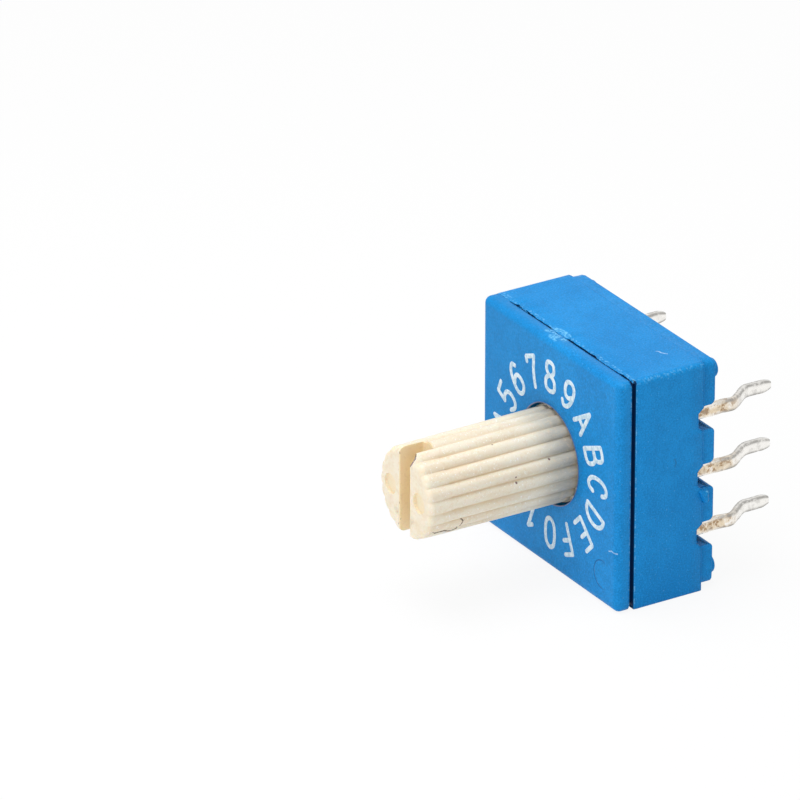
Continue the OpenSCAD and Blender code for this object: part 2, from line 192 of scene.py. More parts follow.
def mathNode(tree, operation, first, second=0.0, clamp=False):
    return addNode(tree, "ShaderNodeMath", {0: first, 1: second}, operation=operation,
                   use_clamp=clamp).outputs[0]


def times(tree, *factors):
    product = factors[0]
    for factor in factors[1:]:
        product = mathNode(tree, "MULTIPLY", product, factor)
    return product


def vectorNode(tree, operation, sockets):
    # lengths, distances and dot products come out as numbers, anything else as a vector
    node = addNode(tree, "ShaderNodeVectorMath", sockets, operation=operation)
    return node.outputs["Value" if operation in ("LENGTH", "DISTANCE", "DOT_PRODUCT") else "Vector"]


def splitPoint(tree, point):
    node = addNode(tree, "ShaderNodeSeparateXYZ", {0: point})
    return node.outputs["X"], node.outputs["Y"], node.outputs["Z"]


def joinPoint(tree, x, y, z):
    return addNode(tree, "ShaderNodeCombineXYZ", {0: x, 1: y, 2: z}).outputs[0]


def ramp(tree, value, low, high, toLow=0.0, toHigh=1.0):
    # a smooth step between two values of its own range
    sockets = {"Value": value, "From Min": low, "From Max": high, "To Min": toLow, "To Max": toHigh}
    return addNode(tree, "ShaderNodeMapRange", sockets, interpolation_type="SMOOTHSTEP").outputs["Result"]


def sizeRamp(tree, value, low, high, toLow=0.0, toHigh=1.0):
    # the same between two lengths in millimetres
    return ramp(tree, value, low * mm, high * mm, toLow, toHigh)


def blendColour(tree, colour, *layers):
    # lays colours over a first one, each as strongly as its own factor says
    for factor, over in layers:
        node = addNode(tree, "ShaderNodeMix", data_type="RGBA")
        fillSockets(tree, node, {0: factor, 6: colour, 7: over})
        colour = node.outputs[2]
    return colour


def bump(tree, height, strength, distance):
    sockets = {"Height": height, "Strength": strength, "Distance": distance * mm}
    return addNode(tree, "ShaderNodeBump", sockets).outputs["Normal"]


def spot(tree, point, centre, radius, soft):
    # 1 within the radius of a place on the piece, 0 past it
    away = vectorNode(tree, "DISTANCE", {0: point, 1: [c * mm for c in centre]})
    return sizeRamp(tree, away, radius, radius + soft, 1.0, 0.0)


def rgb(red, green, blue):
    return (red, green, blue, 1.0)


def nearLine(tree, point, start, end, radius, soft):
    # 1 within the radius of a straight line between two places, 0 past it: the distance to the
    # nearest place on the line
    start, end = ((np.array(at) + (0, faceY, 0)) * mm for at in (start, end))
    along = end - start
    offset = vectorNode(tree, "SUBTRACT", {0: point, 1: start})
    reach = vectorNode(tree, "DOT_PRODUCT", {0: offset, 1: along / (along @ along)})
    share = mathNode(tree, "ADD", reach, 0.0, True)
    nearest = vectorNode(tree, "SCALE", {0: along, "Scale": share})
    away = vectorNode(tree, "DISTANCE", {0: offset, 1: nearest})
    return sizeRamp(tree, away, radius, radius + soft, 1.0, 0.0)


def mark(path, width, soft, uneven, strength, colour, grain=14.0):
    return {"path": path, "width": width, "soft": soft, "uneven": uneven, "strength": strength,
            "colour": colour, "grain": grain}


def paintMarks(tree, point, colour, marks):
    # each mark is a line through places on the surface, broken up by a noise of its own grain
    grains = {scale: noise(tree, point, scale, 3.0, 0.7) for scale in {item["grain"] for item in marks}}
    for item in marks:
        path = item["path"]
        cover = 0.0
        for start, end in zip(path[:-1], path[1:]):
            line = nearLine(tree, point, start, end, item["width"], item["soft"])
            cover = mathNode(tree, "MAXIMUM", cover, line)
        uneven = ramp(tree, grains[item["grain"]], 0.40, 0.56, item["uneven"], 1.0)
        colour = blendColour(tree, colour, (times(tree, cover, uneven, item["strength"]), item["colour"]))
    return colour


bluePlastic = {
    "colour": rgb(0.005, 0.226, 0.585),
    "paler": rgb(0.008, 0.260, 0.650),
    # darker tone for the mottle, and for the painted shade on the cover's left
    "deeper": rgb(0.004, 0.185, 0.480),
    # pale tone for specks, scuffs at the corners, and a painted highlight along the seam's edges
    "scuffAndHighlight": rgb(0.17, 0.50, 0.80),
    # painted shade for the gap between cover and case
    "seamShade": rgb(0.004, 0.036, 0.13),
    # painted highlight round the hole's rim
    "holeRimHighlight": rgb(0.40, 0.33, 0.40),
    "paleGrit": rgb(0.012, 0.31, 0.76),
    "darkGrit": rgb(0.003, 0.16, 0.42),
    "ringLine": rgb(0.004, 0.10, 0.31),
    "specular": 0.12,
    "roughness": (0.36, 0.52),
    "grainScale": 9.0,      # per millimetre
    "grainDepth": 0.006,    # millimetres
    "speckShare": 0.69,     # noise level above which a pale speck shows
}
ejectorRing = {"centre": (3.96, faceY, -3.66), "radius": 0.61, "line": 0.055, "strength": 0.85}
seamGap = 0.20
# marks as places on the surface, width, soft edge, evenness, strength, colour and grain
burrBlue = rgb(0.16, 0.52, 0.82)
coverMarks = [
    mark([(4.41, 0, -2.43), (4.60, 0, -2.35), (4.75, 0, -2.37), (4.90, 0.08, -2.37)],
         0.012, 0.03, 0.4, 0.75, rgb(0.45, 0.65, 0.85)),
    mark([(-0.80, 0.46, 5.0), (-0.55, 0.60, 5.0), (-0.20, 0.50, 5.0), (0.05, 0.60, 5.0), (0.25, 0.50, 5.0)],
         0.10, 0.10, -0.5, 0.9, burrBlue, 6.0),
    mark([(-0.35, 0.30, 4.99), (0.05, 0.25, 4.98)], 0.07, 0.10, -0.6, 0.8, burrBlue, 6.0),
]
caseMarks = [
    mark([(3.06, 3.00, 5.0), (3.17, 3.08, 5.0), (3.28, 3.08, 5.0), (3.50, 3.23, 5.0)],
         0.012, 0.03, 0.4, 0.75, rgb(0.50, 0.70, 0.88)),
    mark([(5.0, 2.66, 1.16), (5.0, 2.73, 1.0), (5.0, 2.68, 0.85)],
         0.010, 0.035, 0.5, 0.55, rgb(0.02, 0.08, 0.16)),
    mark([(-0.70, 0.80, 5.0), (-0.30, 0.86, 5.0), (0.10, 0.80, 5.0)], 0.08, 0.08, -0.5, 0.9, burrBlue, 6.0),
    # painted shade: a dark line along the crease where the case meets the rim on top
    mark([(-3.57, 4.02, 5.0), (-2.9, 4.02, 5.0), (-2.13, 4.02, 5.0)],
         0.02, 0.03, 0.3, 0.45, rgb(0.004, 0.10, 0.30)),
    mark([(4.80, 0.80, 5.0), (4.92, 0.78, 4.95), (5.0, 0.80, 4.86)],
         0.03, 0.04, 0.2, 0.8, rgb(0.22, 0.55, 0.80)),
    # painted highlight: a glint on the top of the latch nub
    mark([(5.15, 4.12, -0.56), (5.15, 4.22, -0.58), (5.15, 4.26, -0.72)],
         0.03, 0.05, 0.2, 0.75, rgb(0.22, 0.62, 0.90)),
]


def makeBlue(name, marks, isCover):
    # moulded plastic: slow colour drift, fine grain, pale specks, scuffs along the outer edges,
    # pale lines along the seam's edges, partly wear and partly painted highlight, and painted shade
    # in the seam behind the cover; the cover also has painted shade towards its left, a painted
    # highlight round the hole's rim and a faint ejector ring
    material, tree, shader = makeMaterial(name)
    point = objectPoint(tree)
    look = bluePlastic
    x, depth, upwards = splitPoint(tree, point)
    sideways = mathNode(tree, "ABSOLUTE", x)
    drift = ramp(tree, noise(tree, point, 0.35, 2.0), 0.35, 0.65)
    mottle = ramp(tree, noise(tree, point, 2.3, 3.0, 0.6), 0.42, 0.66, 0.0, 0.35)
    grain = noise(tree, point, look["grainScale"], 4.0, 0.6)
    grit = noise(tree, point, 15.0, 2.0, 0.6)
    share = look["speckShare"]
    speck = ramp(tree, noise(tree, point, 11.0, 1.0), share, share + 0.06, 0.0, 0.28)
    diagonal = mathNode(tree, "ADD", sideways, upwards)
    corner = sizeRamp(tree, diagonal, 2 * half - 0.22, 2 * half - 0.08)
    outer = mathNode(tree, "MAXIMUM", sideways, mathNode(tree, "ABSOLUTE", upwards))
    midSeam = (faceY + coverRear + seamGap / 2) * mm
    fromSeam = mathNode(tree, "ABSOLUTE", mathNode(tree, "SUBTRACT", depth, midSeam))
    # pale lines along both edges of the seam: partly wear, partly painted highlight
    lip = times(tree, sizeRamp(tree, outer, half - 0.05, half - 0.01),
                sizeRamp(tree, fromSeam, seamGap / 2 + 0.03, seamGap / 2 + 0.09, 1.0, 0.0))
    edgeWearAndSeamHighlight = mathNode(tree, "MAXIMUM", corner, times(tree, lip, 0.8))
    rubbed = ramp(tree, noise(tree, point, 8.0, 3.0, 0.7), 0.50, 0.62, 0.0, 0.8)
    wearAndSeamHighlight = mathNode(tree, "MAXIMUM", speck, times(tree, edgeWearAndSeamHighlight, rubbed))
    colour = blendColour(tree, look["colour"], (drift, look["paler"]), (mottle, look["deeper"]),
                         (ramp(tree, grit, 0.52, 0.64, 0.0, 0.55), look["paleGrit"]),
                         (ramp(tree, grit, 0.36, 0.48, 0.45, 0.0), look["darkGrit"]), (wearAndSeamHighlight, look["scuffAndHighlight"]))
    height = grain
    if isCover:
        # painted shade: the cover's face darker towards the left
        paintedLeftShade = sizeRamp(tree, x, -half, 0.4 * half, 0.42, 0.0)
        ring = ejectorRing
        away = vectorNode(tree, "DISTANCE", {0: point, 1: [c * mm for c in ring["centre"]]})
        inner = sizeRamp(tree, away, ring["radius"] - ring["line"], ring["radius"])
        outside = sizeRamp(tree, away, ring["radius"], ring["radius"] + ring["line"], 1.0, 0.0)
        groove = times(tree, inner, outside, sizeRamp(tree, x, 3.7, 4.3, 1.0, 0.15))
        height = mathNode(tree, "SUBTRACT", height, times(tree, groove, 3.0))
        fromAxis = vectorNode(tree, "LENGTH", {0: joinPoint(tree, x, 0.0, upwards)})
        hole = cover["holeRadius"]
        # painted highlight: a pale pinkish line round the hole's rim on the front face
        rim = times(tree, sizeRamp(tree, fromAxis, hole + 0.01, hole + 0.07, 0.75, 0.0),
                    sizeRamp(tree, depth, faceY + 0.06, faceY + 0.12, 1.0, 0.0))
        ringLine = times(tree, groove, ring["strength"])
        colour = blendColour(tree, colour, (paintedLeftShade, look["deeper"]), (ringLine, look["ringLine"]),
                             (rim, look["holeRimHighlight"]))
    colour = paintMarks(tree, point, colour, marks)
    # painted shade: the neck of the case inside the gap between cover and case darkened to deep navy
    seamShadeMask = times(tree, sizeRamp(tree, outer, half - 0.05, half - 0.02, 1.0, 0.0),
                   sizeRamp(tree, fromSeam, seamGap / 2 + 0.02, seamGap / 2 + 0.05, 1.0, 0.0))
    fillSockets(tree, shader, {
        "Base Color": blendColour(tree, colour, (seamShadeMask, look["seamShade"])),
        "Specular IOR Level": look["specular"],
        "Roughness": ramp(tree, grain, 0.3, 0.7, *look["roughness"]),
        "Normal": bump(tree, height, 0.6, look["grainDepth"]),
    })
    return material


creamPlastic = {
    "colour": rgb(0.85, 0.775, 0.625),
    # warmer tone for the painted shade in the grooves, and for the streaks and mottle
    "groove": rgb(0.76, 0.59, 0.38),
    # warm tone for the painted shade in the slot and the end dimples
    "slot": rgb(0.90, 0.74, 0.46),
    # grey tone for the painted shade towards the cover
    "rootShadeTone": rgb(0.27, 0.26, 0.23),
    "roughness": (0.38, 0.55),
    "glint": rgb(0.98, 0.96, 0.92),
    "speck": rgb(0.13, 0.03, 0.04),
    # small dark specks on the shaft: place and size
    "specks": [((0.94, -3.26, 1.65), 0.030), ((1.85, -2.74, 0.45), 0.026),
               ((1.89, -2.72, 0.21), 0.034), ((1.73, -1.11, 0.78), 0.036)],
}
flankRadius = 1.86


def onFlank(*places):
    # moves places near the ribs out or in to the even cylinder on which marks of the flank are laid
    moved = []
    for x, depth, z in places:
        share = flankRadius / math.hypot(x, z)
        moved.append((x * share, depth, z * share))
    return moved


flakeMarks = [
    mark(onFlank((1.50, -6.38, -1.13), (1.25, -6.14, -1.34), (1.25, -5.92, -1.344), (1.25, -5.70, -1.36),
                 (1.23, -5.54, -1.43), (1.21, -5.37, -1.47), (1.23, -5.22, -1.45), (1.24, -5.10, -1.40),
                 (1.55, -5.14, -1.15), (1.61, -5.08, -1.04), (1.615, -5.05, -0.97), (1.61, -5.06, -0.91),
                 (1.59, -5.14, -0.83)), 0.012, 0.030, 0.6, 0.95, rgb(0.075, 0.05, 0.03)),
    mark(onFlank((1.615, -5.05, -0.96), (1.615, -4.97, -0.92)),
         0.004, 0.025, 0.3, 0.7, rgb(0.22, 0.15, 0.09)),
    mark(onFlank((1.22, -5.80, -1.455), (1.20, -5.58, -1.487)),
         0.035, 0.03, 0.3, 0.8, rgb(0.72, 0.74, 0.74)),
]
slotMarks = [
    mark([(0.38, -6.68, 1.38), (0.39, -6.60, 1.48), (0.40, -6.52, 1.57), (0.40, -6.44, 1.64)],
         0.055, 0.05, 0.45, 0.95, rgb(0.09, 0.055, 0.11)),
    mark([(-0.38, -6.74, 1.66), (-0.38, -6.72, 1.58)], 0.012, 0.03, 0.2, 0.7, rgb(0.30, 0.22, 0.16)),
    mark([(-0.38, -6.74, -0.54), (-0.38, -6.74, -0.60)], 0.012, 0.03, 0.2, 0.7, rgb(0.26, 0.18, 0.12)),
    mark([(-0.38, -6.66, -1.26), (-0.38, -6.68, -1.29)], 0.012, 0.025, 0.2, 0.6, rgb(0.26, 0.18, 0.12)),
    mark([(-0.40, -6.74, -1.44), (-0.45, -6.74, -1.52)], 0.02, 0.03, 0.2, 0.6, rgb(0.28, 0.24, 0.20)),
]


def makeCream(name):
    # moulded shaft: pale, with painted warm shade in the grooves, the slot and the end dimples,
    # painted glints on the crests and painted shade towards the cover
    material, tree, shader = makeMaterial(name)
    point = objectPoint(tree)
    look = creamPlastic
    x, depth, z = splitPoint(tree, point)
    flat = joinPoint(tree, x, 0.0, z)
    radius = vectorNode(tree, "LENGTH", {0: flat})
    tip = faceY + tipDepth
    slotEnd = tip + shaft["slotDepth"]
    grain = noise(tree, point, 7.0, 4.0, 0.65)
    stretched = addNode(tree, "ShaderNodeMapping", {"Vector": point, "Scale": (1.0, 0.25, 1.0)}).outputs[0]
    streak = noise(tree, stretched, 2.4, 3.0, 0.6)
    # painted shade: the grooves, and the tip faces inside the crests, warmer and darker
    low = times(tree, sizeRamp(tree, radius, 1.76, 1.90, 1.0, 0.0),
                sizeRamp(tree, depth, tip + 0.1, tip + 0.6))
    # painted warm shade on the walls and floor of the slot
    byAxis = sizeRamp(tree, mathNode(tree, "ABSOLUTE", x), shaft["slotHalf"] + 0.005,
                      shaft["slotHalf"] + 0.04, 1.0, 0.0)
    slotShade = times(tree, byAxis, sizeRamp(tree, depth, slotEnd - 0.05, slotEnd + 0.1, 1.0, 0.0))
    # painted shade: the shaft darker and greyer towards the cover, broken up by streaks
    rootShade = times(tree, sizeRamp(tree, depth, faceY - 2.0, faceY - 0.1, 0.0, 0.8),
                 ramp(tree, streak, 0.30, 0.70, 0.6, 1.0))
    # painted highlight: tiny pale glints on the crests, fewer towards the cover
    glint = times(tree, ramp(tree, noise(tree, point, 12.0, 1.0), 0.64, 0.72, 0.0, 0.75),
                  sizeRamp(tree, depth, faceY - 2.4, faceY - 0.6, 1.0, 0.15),
                  sizeRamp(tree, radius, 1.78, 1.88))
    colour = blendColour(tree, look["colour"], (times(tree, low, 0.75), look["groove"]),
                         (ramp(tree, streak, 0.40, 0.68, 0.0, 0.35), look["groove"]),
                         (times(tree, slotShade, 0.8), look["slot"]), (rootShade, look["rootShadeTone"]),
                         (ramp(tree, grain, 0.50, 0.68, 0.0, 0.40), look["groove"]), (glint, look["glint"]))
    # painted warm shade inside the dimples on the end faces
    for side in (-1, 1):
        centre = (side * shaft["dimpleAt"], tip + 0.1, 0)
        dent = spot(tree, point, centre, shaft["dimpleRadius"] - 0.03, 0.06)
        colour = blendColour(tree, colour, (times(tree, dent, 0.45), look["slot"]))
    # marks on the flank are laid on an even cylinder, so the ribs don't carry them off
    outwards = vectorNode(tree, "NORMALIZE", {0: flat})
    around = vectorNode(tree, "SCALE", {0: outwards, "Scale": flankRadius * mm})
    flank = vectorNode(tree, "ADD", {0: around, 1: joinPoint(tree, 0.0, depth, 0.0)})
    for at, size in look["specks"]:
        (atX, atDepth, atZ), = onFlank(at)
        speck = spot(tree, flank, (atX, faceY + atDepth, atZ), size, 0.02)
        colour = blendColour(tree, colour, (times(tree, speck, 0.85), look["speck"]))
    colour = paintMarks(tree, flank, colour, flakeMarks)
    fillSockets(tree, shader, {
        "Base Color": paintMarks(tree, point, colour, slotMarks),
        "Roughness": ramp(tree, grain, 0.3, 0.7, *look["roughness"]),
        "Specular IOR Level": 0.35,
        "Subsurface Weight": 0.25,
        "Subsurface Radius": (1.0, 0.6, 0.3),
        "Subsurface Scale": 0.35 * mm,
        "Normal": bump(tree, grain, 0.5, 0.006),
    })
    return material


tinLook = {
    "bright": rgb(0.96, 0.94, 0.90),
    "grey": rgb(0.34, 0.33, 0.31),
    "gold": rgb(0.80, 0.67, 0.49),
    "brown": rgb(0.36, 0.22, 0.11),
    "clean": rgb(1.0, 0.97, 0.90),
}


def makeTinned(name):
    # bright tin, grey along its stamped edges, with copper and brown where it was bent near the body
    material, tree, shader = makeMaterial(name)
    point = objectPoint(tree)
    depth = splitPoint(tree, point)[1]
    look = tinLook
    tone = addNode(tree, "ShaderNodeAttribute", attribute_name="tone").outputs["Fac"]
    patches = noise(tree, point, 2.6, 4.0, 0.65)
    spots = noise(tree, point, 5.0, 3.0, 0.6)
    stains = noise(tree, point, 3.4, 4.0, 0.7)
    near = sizeRamp(tree, depth, 0.2, 1.5, 1.0, 0.0)
    gold = times(tree, ramp(tree, patches, 0.34, 0.52), near)
    brown = times(tree, ramp(tree, stains, 0.46, 0.56), times(tree, near, 0.9))
    smoke = ramp(tree, patches, 0.52, 0.64, 0.0, 0.30)
    rim = times(tree, tone, ramp(tree, spots, 0.30, 0.55, 0.35, 1.0))
    edgeColour = blendColour(tree, look["grey"], (sizeRamp(tree, depth, -0.4, 0.7, 1.0, 0.0), look["clean"]))
    fillSockets(tree, shader, {
        "Base Color": blendColour(tree, look["bright"], (gold, look["gold"]), (brown, look["brown"]),
                                  (smoke, look["grey"]), (times(tree, rim, 0.9), edgeColour)),
        "Metallic": 1.0,
        "Roughness": ramp(tree, spots, 0.3, 0.7, 0.16, 0.40),
        "Normal": bump(tree, spots, 0.6, 0.02),
    })
    return material


def makePlain(name, colour, second, scale, metallic, roughness, depth):
    # hidden pieces: two tones and a fine grain
    material, tree, shader = makeMaterial(name)
    grain = noise(tree, objectPoint(tree), scale, 3.0)
    fillSockets(tree, shader, {
        "Base Color": blendColour(tree, colour, (ramp(tree, grain, 0.35, 0.65), second)),
        "Metallic": metallic,
        "Roughness": ramp(tree, grain, 0.3, 0.7, *roughness),
        "Normal": bump(tree, grain, 0.5, depth),
    })
    return material


notch = {"centres": (-2.54, 0.0, 2.54), "width": 1.05, "floor": 0.60, "depth": 0.25}


def sideTicks(reach):
    # places along one side of a square, close together where a notch wall stands
    walls = [c + s * (w / 2 + d) for c in notch["centres"] for s in (-1, 1)
             for w in (notch["width"], notch["floor"]) for d in (-0.05, -0.01, 0.01, 0.05)]
    even = np.linspace(-1, 1, 121) * reach
    far = np.abs(even[:, None] - np.array(walls)[None]).min(1) > 0.03
    return np.unique(np.concatenate([even[far], walls, [-reach, reach]]))


def squareLoop(radius, inset, lowRadius=None):
    # a square with round corners, moved inwards: straight points step straight in, corner
    # points slide along their arc's radius, and past the corner radius they stop at the corner
    ticks = sideTicks(half - radius)
    turn = np.linspace(0, math.pi / 2, 9)[1:-1]
    limit = half - inset
    quarters = []
    for corner in (radius, radius, lowRadius or radius, lowRadius or radius):
        centre, bend = half - corner, max(corner - inset, 0)
        outX = np.concatenate([np.full(len(ticks), limit), centre + bend * np.cos(turn)])
        outZ = np.concatenate([ticks, centre + bend * np.sin(turn)])
        quarters.append((np.minimum(outX, limit), np.clip(outZ, -limit, limit)))
    (x0, z0), (x1, z1), (x2, z2), (x3, z3) = quarters
    return np.concatenate([x0, -z1, -x2, z3]), np.concatenate([z0, x1, -z2, -x3])


def loopSides(radius):
    # which side each loop point belongs to, 0 right, 1 top, 2 left, 3 bottom, and its place along it
    x, z = squareLoop(radius, 0)
    count = len(x) // 4
    side = np.repeat(np.arange(4), count)
    along = np.where(side % 2 == 0, z, x)
    return side, along


cover = {
    "cornerRadius": 0.28,
    "frontEdge": 0.30,
    "rearEdge": 0.04,
    "holeRadius": 2.1,
    "holeEdge": 0.05,
    "glandInner": 2.57,
    "glandOuter": 2.97,
    "glandRear": 1.17,
    "postRadius": 0.35,
    "postAt": 3.535,
    "postLength": 1.0,
}


def makeCover():
    # rings carried from the hole over the face, round the edge and back to the hole: each ring
    # lies between a circle round the shaft and the square outline
    size = cover
    squareX, squareZ = squareLoop(size["cornerRadius"], 0)
    angle = np.arctan2(squareZ, squareX)
    rows = []

    def circleRow(radius, depth):
        rows.append(polar(radius, angle, depth))

    def squareRow(inset, depth):
        x, z = squareLoop(size["cornerRadius"], inset)
        rows.append(place(x, depth, z))

    far, down = arcSteps(5)
    circleRow(size["holeRadius"], coverRear)
    for out, deep in zip(far[::-1], down[::-1]):
        circleRow(size["holeRadius"] + size["holeEdge"] * deep, size["holeEdge"] * out)
    edge = size["frontEdge"]
    faceX, faceZ = squareLoop(size["cornerRadius"], edge)
    rim = size["holeRadius"] + size["holeEdge"]
    for part in (0.03, 0.15, 0.35, 0.6, 0.85, 0.98):
        x = (1 - part) * rim * np.cos(angle) + part * faceX
        z = (1 - part) * rim * np.sin(angle) + part * faceZ
        rows.append(place(x, 0.0, z))
    far, down = arcSteps(9)
    for out, deep in zip(far, down):
        squareRow(edge * out, edge * deep)
    rear = size["rearEdge"]
    side, along = loopSides(size["cornerRadius"])
    wornBy = np.abs(raggedEdge(7, len(side), 0.012)) * (side == 1)
    squareRow(0, coverRear - rear - 0.04)
    far, down = arcSteps(4)
    apart = along > topSeam["shutUntil"]
    shut = (side == 1) & (along < topSeam["shutUntil"]) & (along > size["cornerRadius"] - half + 0.02)
    for out, deep in zip(far[::-1], down[::-1]):
        squareRow(rear * deep, coverRear - rear * out - wornBy * (1 - deep) * apart)
        rows[-1][:, 2] = np.where(shut, (half - 0.004 * deep) * mm, rows[-1][:, 2])
    circleRow(size["glandOuter"], coverRear)
    circleRow(size["glandOuter"], size["glandRear"])
    circleRow(size["glandInner"], size["glandRear"])
    circleRow(size["glandInner"], coverRear)
    patches = [(np.stack(rows), True, True)]
    radii = np.array([0, 1, 1, 0.8, 0]) * size["postRadius"]
    depths = coverRear + np.array([0, 0, 0.92, 1, 1]) * size["postLength"]
    for sideX in (-1, 1):
        for sideZ in (-1, 1):
            patches.append(peg(sideX * size["postAt"], sideZ * size["postAt"], radii, depths, 32))
    makePiece("coverMoulding", patches, coverBlue, "housing", "front_cover")


caseRing = {
    "cornerRadius": 0.25,
    "lowRadius": 0.07,
    "edge": 0.05,
    "wall": 0.85,
    "seamDepth": 0.25,
    "pillarFrom": 2.92,
    "pillarRear": 3.08,
}
# gap between cover and case along the top edge: place along x, width left open
topSeam = {
    "shutUntil": -4.0,
    "x": (-5.0, -4.0, -3.9, -3.6, -3.5, -2.3, -2.1, -1.0, -0.9,
          0.24, 0.32, 2.2, 2.5, 4.0, 4.12, 4.6, 4.75, 5.0),
    "gap": (0.0, 0.0, 0.04, 0.045, 0.11, 0.10, 0.05, 0.07, 0.03,
            0.03, 0.11, 0.10, 0.05, 0.05, 0.11, 0.10, 0.06, seamGap),
}
# each thread: seed, from and to along x, depth, thickness
tornThreads = [(2, -0.93, 0.10, 0.66, 0.05), (5, -0.60, 0.26, 0.74, 0.06), (6, -3.4, -2.6, 0.64, 0.02),
               (9, 4.72, 4.97, 0.72, 0.05)]


def raggedEdge(seed, count, size):
    # uneven steps from point to point: a fine and a slower random run added up
    draw = np.random.default_rng(seed)
    every = np.arange(0, count + 4, 4)
    slow = np.interp(np.arange(count), every, draw.normal(0, 1, count // 4 + 1 + (count % 4 > 0)))
    return size * (slow + 0.6 * draw.normal(0, 1, count))


def tornThread(seed, fromX, toX, depth, thickness):
    # a lumpy closed tube lying in the seam: its centre wanders, its radius swells and shrinks
    draw = np.random.default_rng(seed)
    t = np.linspace(0, 1, 60)
    wander = np.interp(t, np.linspace(0, 1, 12), draw.normal(0, 1, 12))
    swell = np.interp(t, np.linspace(0, 1, 18), draw.uniform(0.35, 1, 18))
    radius = thickness * swell * np.sin(math.pi * t) ** 0.4
    turn = np.linspace(0, 2 * math.pi, 11)[:-1]
    x = fromX + (toX - fromX) * t[:, None]
    y = depth + 0.03 * wander[:, None] + 1.2 * radius[:, None] * np.cos(turn)
    z = half - 0.001 - thickness + radius[:, None] * np.sin(turn)
    return place(x, y, z)


def makeCase():
    # a ring profile carried round the square: seam neck, front edge, side, rear edge, rear face,
    # inner wall; the front edge follows the uneven seam, the rear edge dips into the notches
    size = caseRing
    side, along = loopSides(size["cornerRadius"])
    gap = np.where(side == 1, np.interp(along, topSeam["x"], topSeam["gap"]), seamGap)
    front = coverRear + np.maximum(gap + np.where(side == 1, raggedEdge(4, len(along), 0.016), 0), 0.004)
    near = np.abs(along[:, None] - np.array(notch["centres"])).min(1)
    wall, bottom = notch["width"] / 2, notch["floor"] / 2
    dip = np.clip((wall - near) / (wall - bottom), 0, 1)
    rear = caseRear - np.where(side % 2 == 0, dip, 0) * notch["depth"]
    rows = []

    def ring(inset, depth):
        x, z = squareLoop(size["cornerRadius"], inset, size["lowRadius"])
        rows.append(place(x, depth, z))

    def straightPart(row):
        return np.abs(row[:, 0]) < (half - size["cornerRadius"] - 0.02) * mm

    neck, edge = size["seamDepth"], size["edge"]
    ring(neck, coverRear)
    ring(neck, front)
    far, down = arcSteps(5)
    shut = (side == 1) & (gap < 0.01)
    for out, deep in zip(far[::-1], down[::-1]):
        ring(edge * deep, front + edge * out)
        rows[-1][:, 2] = np.where(shut & straightPart(rows[-1]), (half - 0.004 * deep) * mm, rows[-1][:, 2])
    rows[-5:] = rows[-5:][::-1]
    ring(0, front + edge + 0.05)
    for part in (0.3, 0.6, 0.9):
        ring(0, front + (caseRear - 0.4 - front) * part)
    ring(0, rear - edge - 0.02)
    for out, deep in zip(far[::-1], down[::-1]):
        ring(edge * deep, rear - edge * out)
        # the top keeps a sharp rear edge
        onTop = (side == 1) & straightPart(rows[-1])
        rows[-1][:, 2] = np.where(onTop, (half - 0.01 * deep) * mm, rows[-1][:, 2])
    ring(size["wall"], rear)
    ring(size["wall"], size["pillarRear"])
    x, z = squareLoop(size["cornerRadius"], size["wall"], size["lowRadius"])
    pillar = size["pillarFrom"]
    fold = np.clip(np.minimum(np.abs(x), np.abs(z)) - pillar, 0, None)
    isSide = np.abs(x) >= np.abs(z)
    foldX = np.where(isSide, x - np.sign(x) * fold, np.clip(x, -pillar, pillar))
    foldZ = np.where(isSide, np.clip(z, -pillar, pillar), z - np.sign(z) * fold)
    rows.append(place(foldX, size["pillarRear"], foldZ))
    rows.append(place(foldX, coverRear, foldZ))
    patches = [(np.stack(rows), True, True)]
    for thread in tornThreads:
        patches.append((tornThread(*thread), False, True))
    makePiece("caseMoulding", patches, caseBlue, "housing", "case")


carrier = {
    "rimOut": 4.88,
    "rimHeight": 0.59,
    "rimWidth": 0.95,
    "blockRadius": 0.19,
    "outlineRadius": 0.30,
    "edge": 0.07,
    "bed": 0.5,
    "plateFront": 3.08,
    "plateHalf": 4.10,
    "boreRadius": 0.64,
    "boreRear": 3.58,
    "pipRadius": 0.40,
    "pipAt": 4.3,
    "pipEdge": 0.12,
    "nubHeight": 0.30,
    "nubLength": 0.60,
    "nubTop": -0.50,
    "nubLap": 0.22,
    "nubReach": 0.24,
    "lift": 0.06,
}


def roundedStep(distance, radius):
    # how far a rounded edge has dropped at a distance in from it
    part = np.clip(distance / radius, 0, 1)
    return radius * (1 - np.sqrt(1 - (1 - part) ** 2))


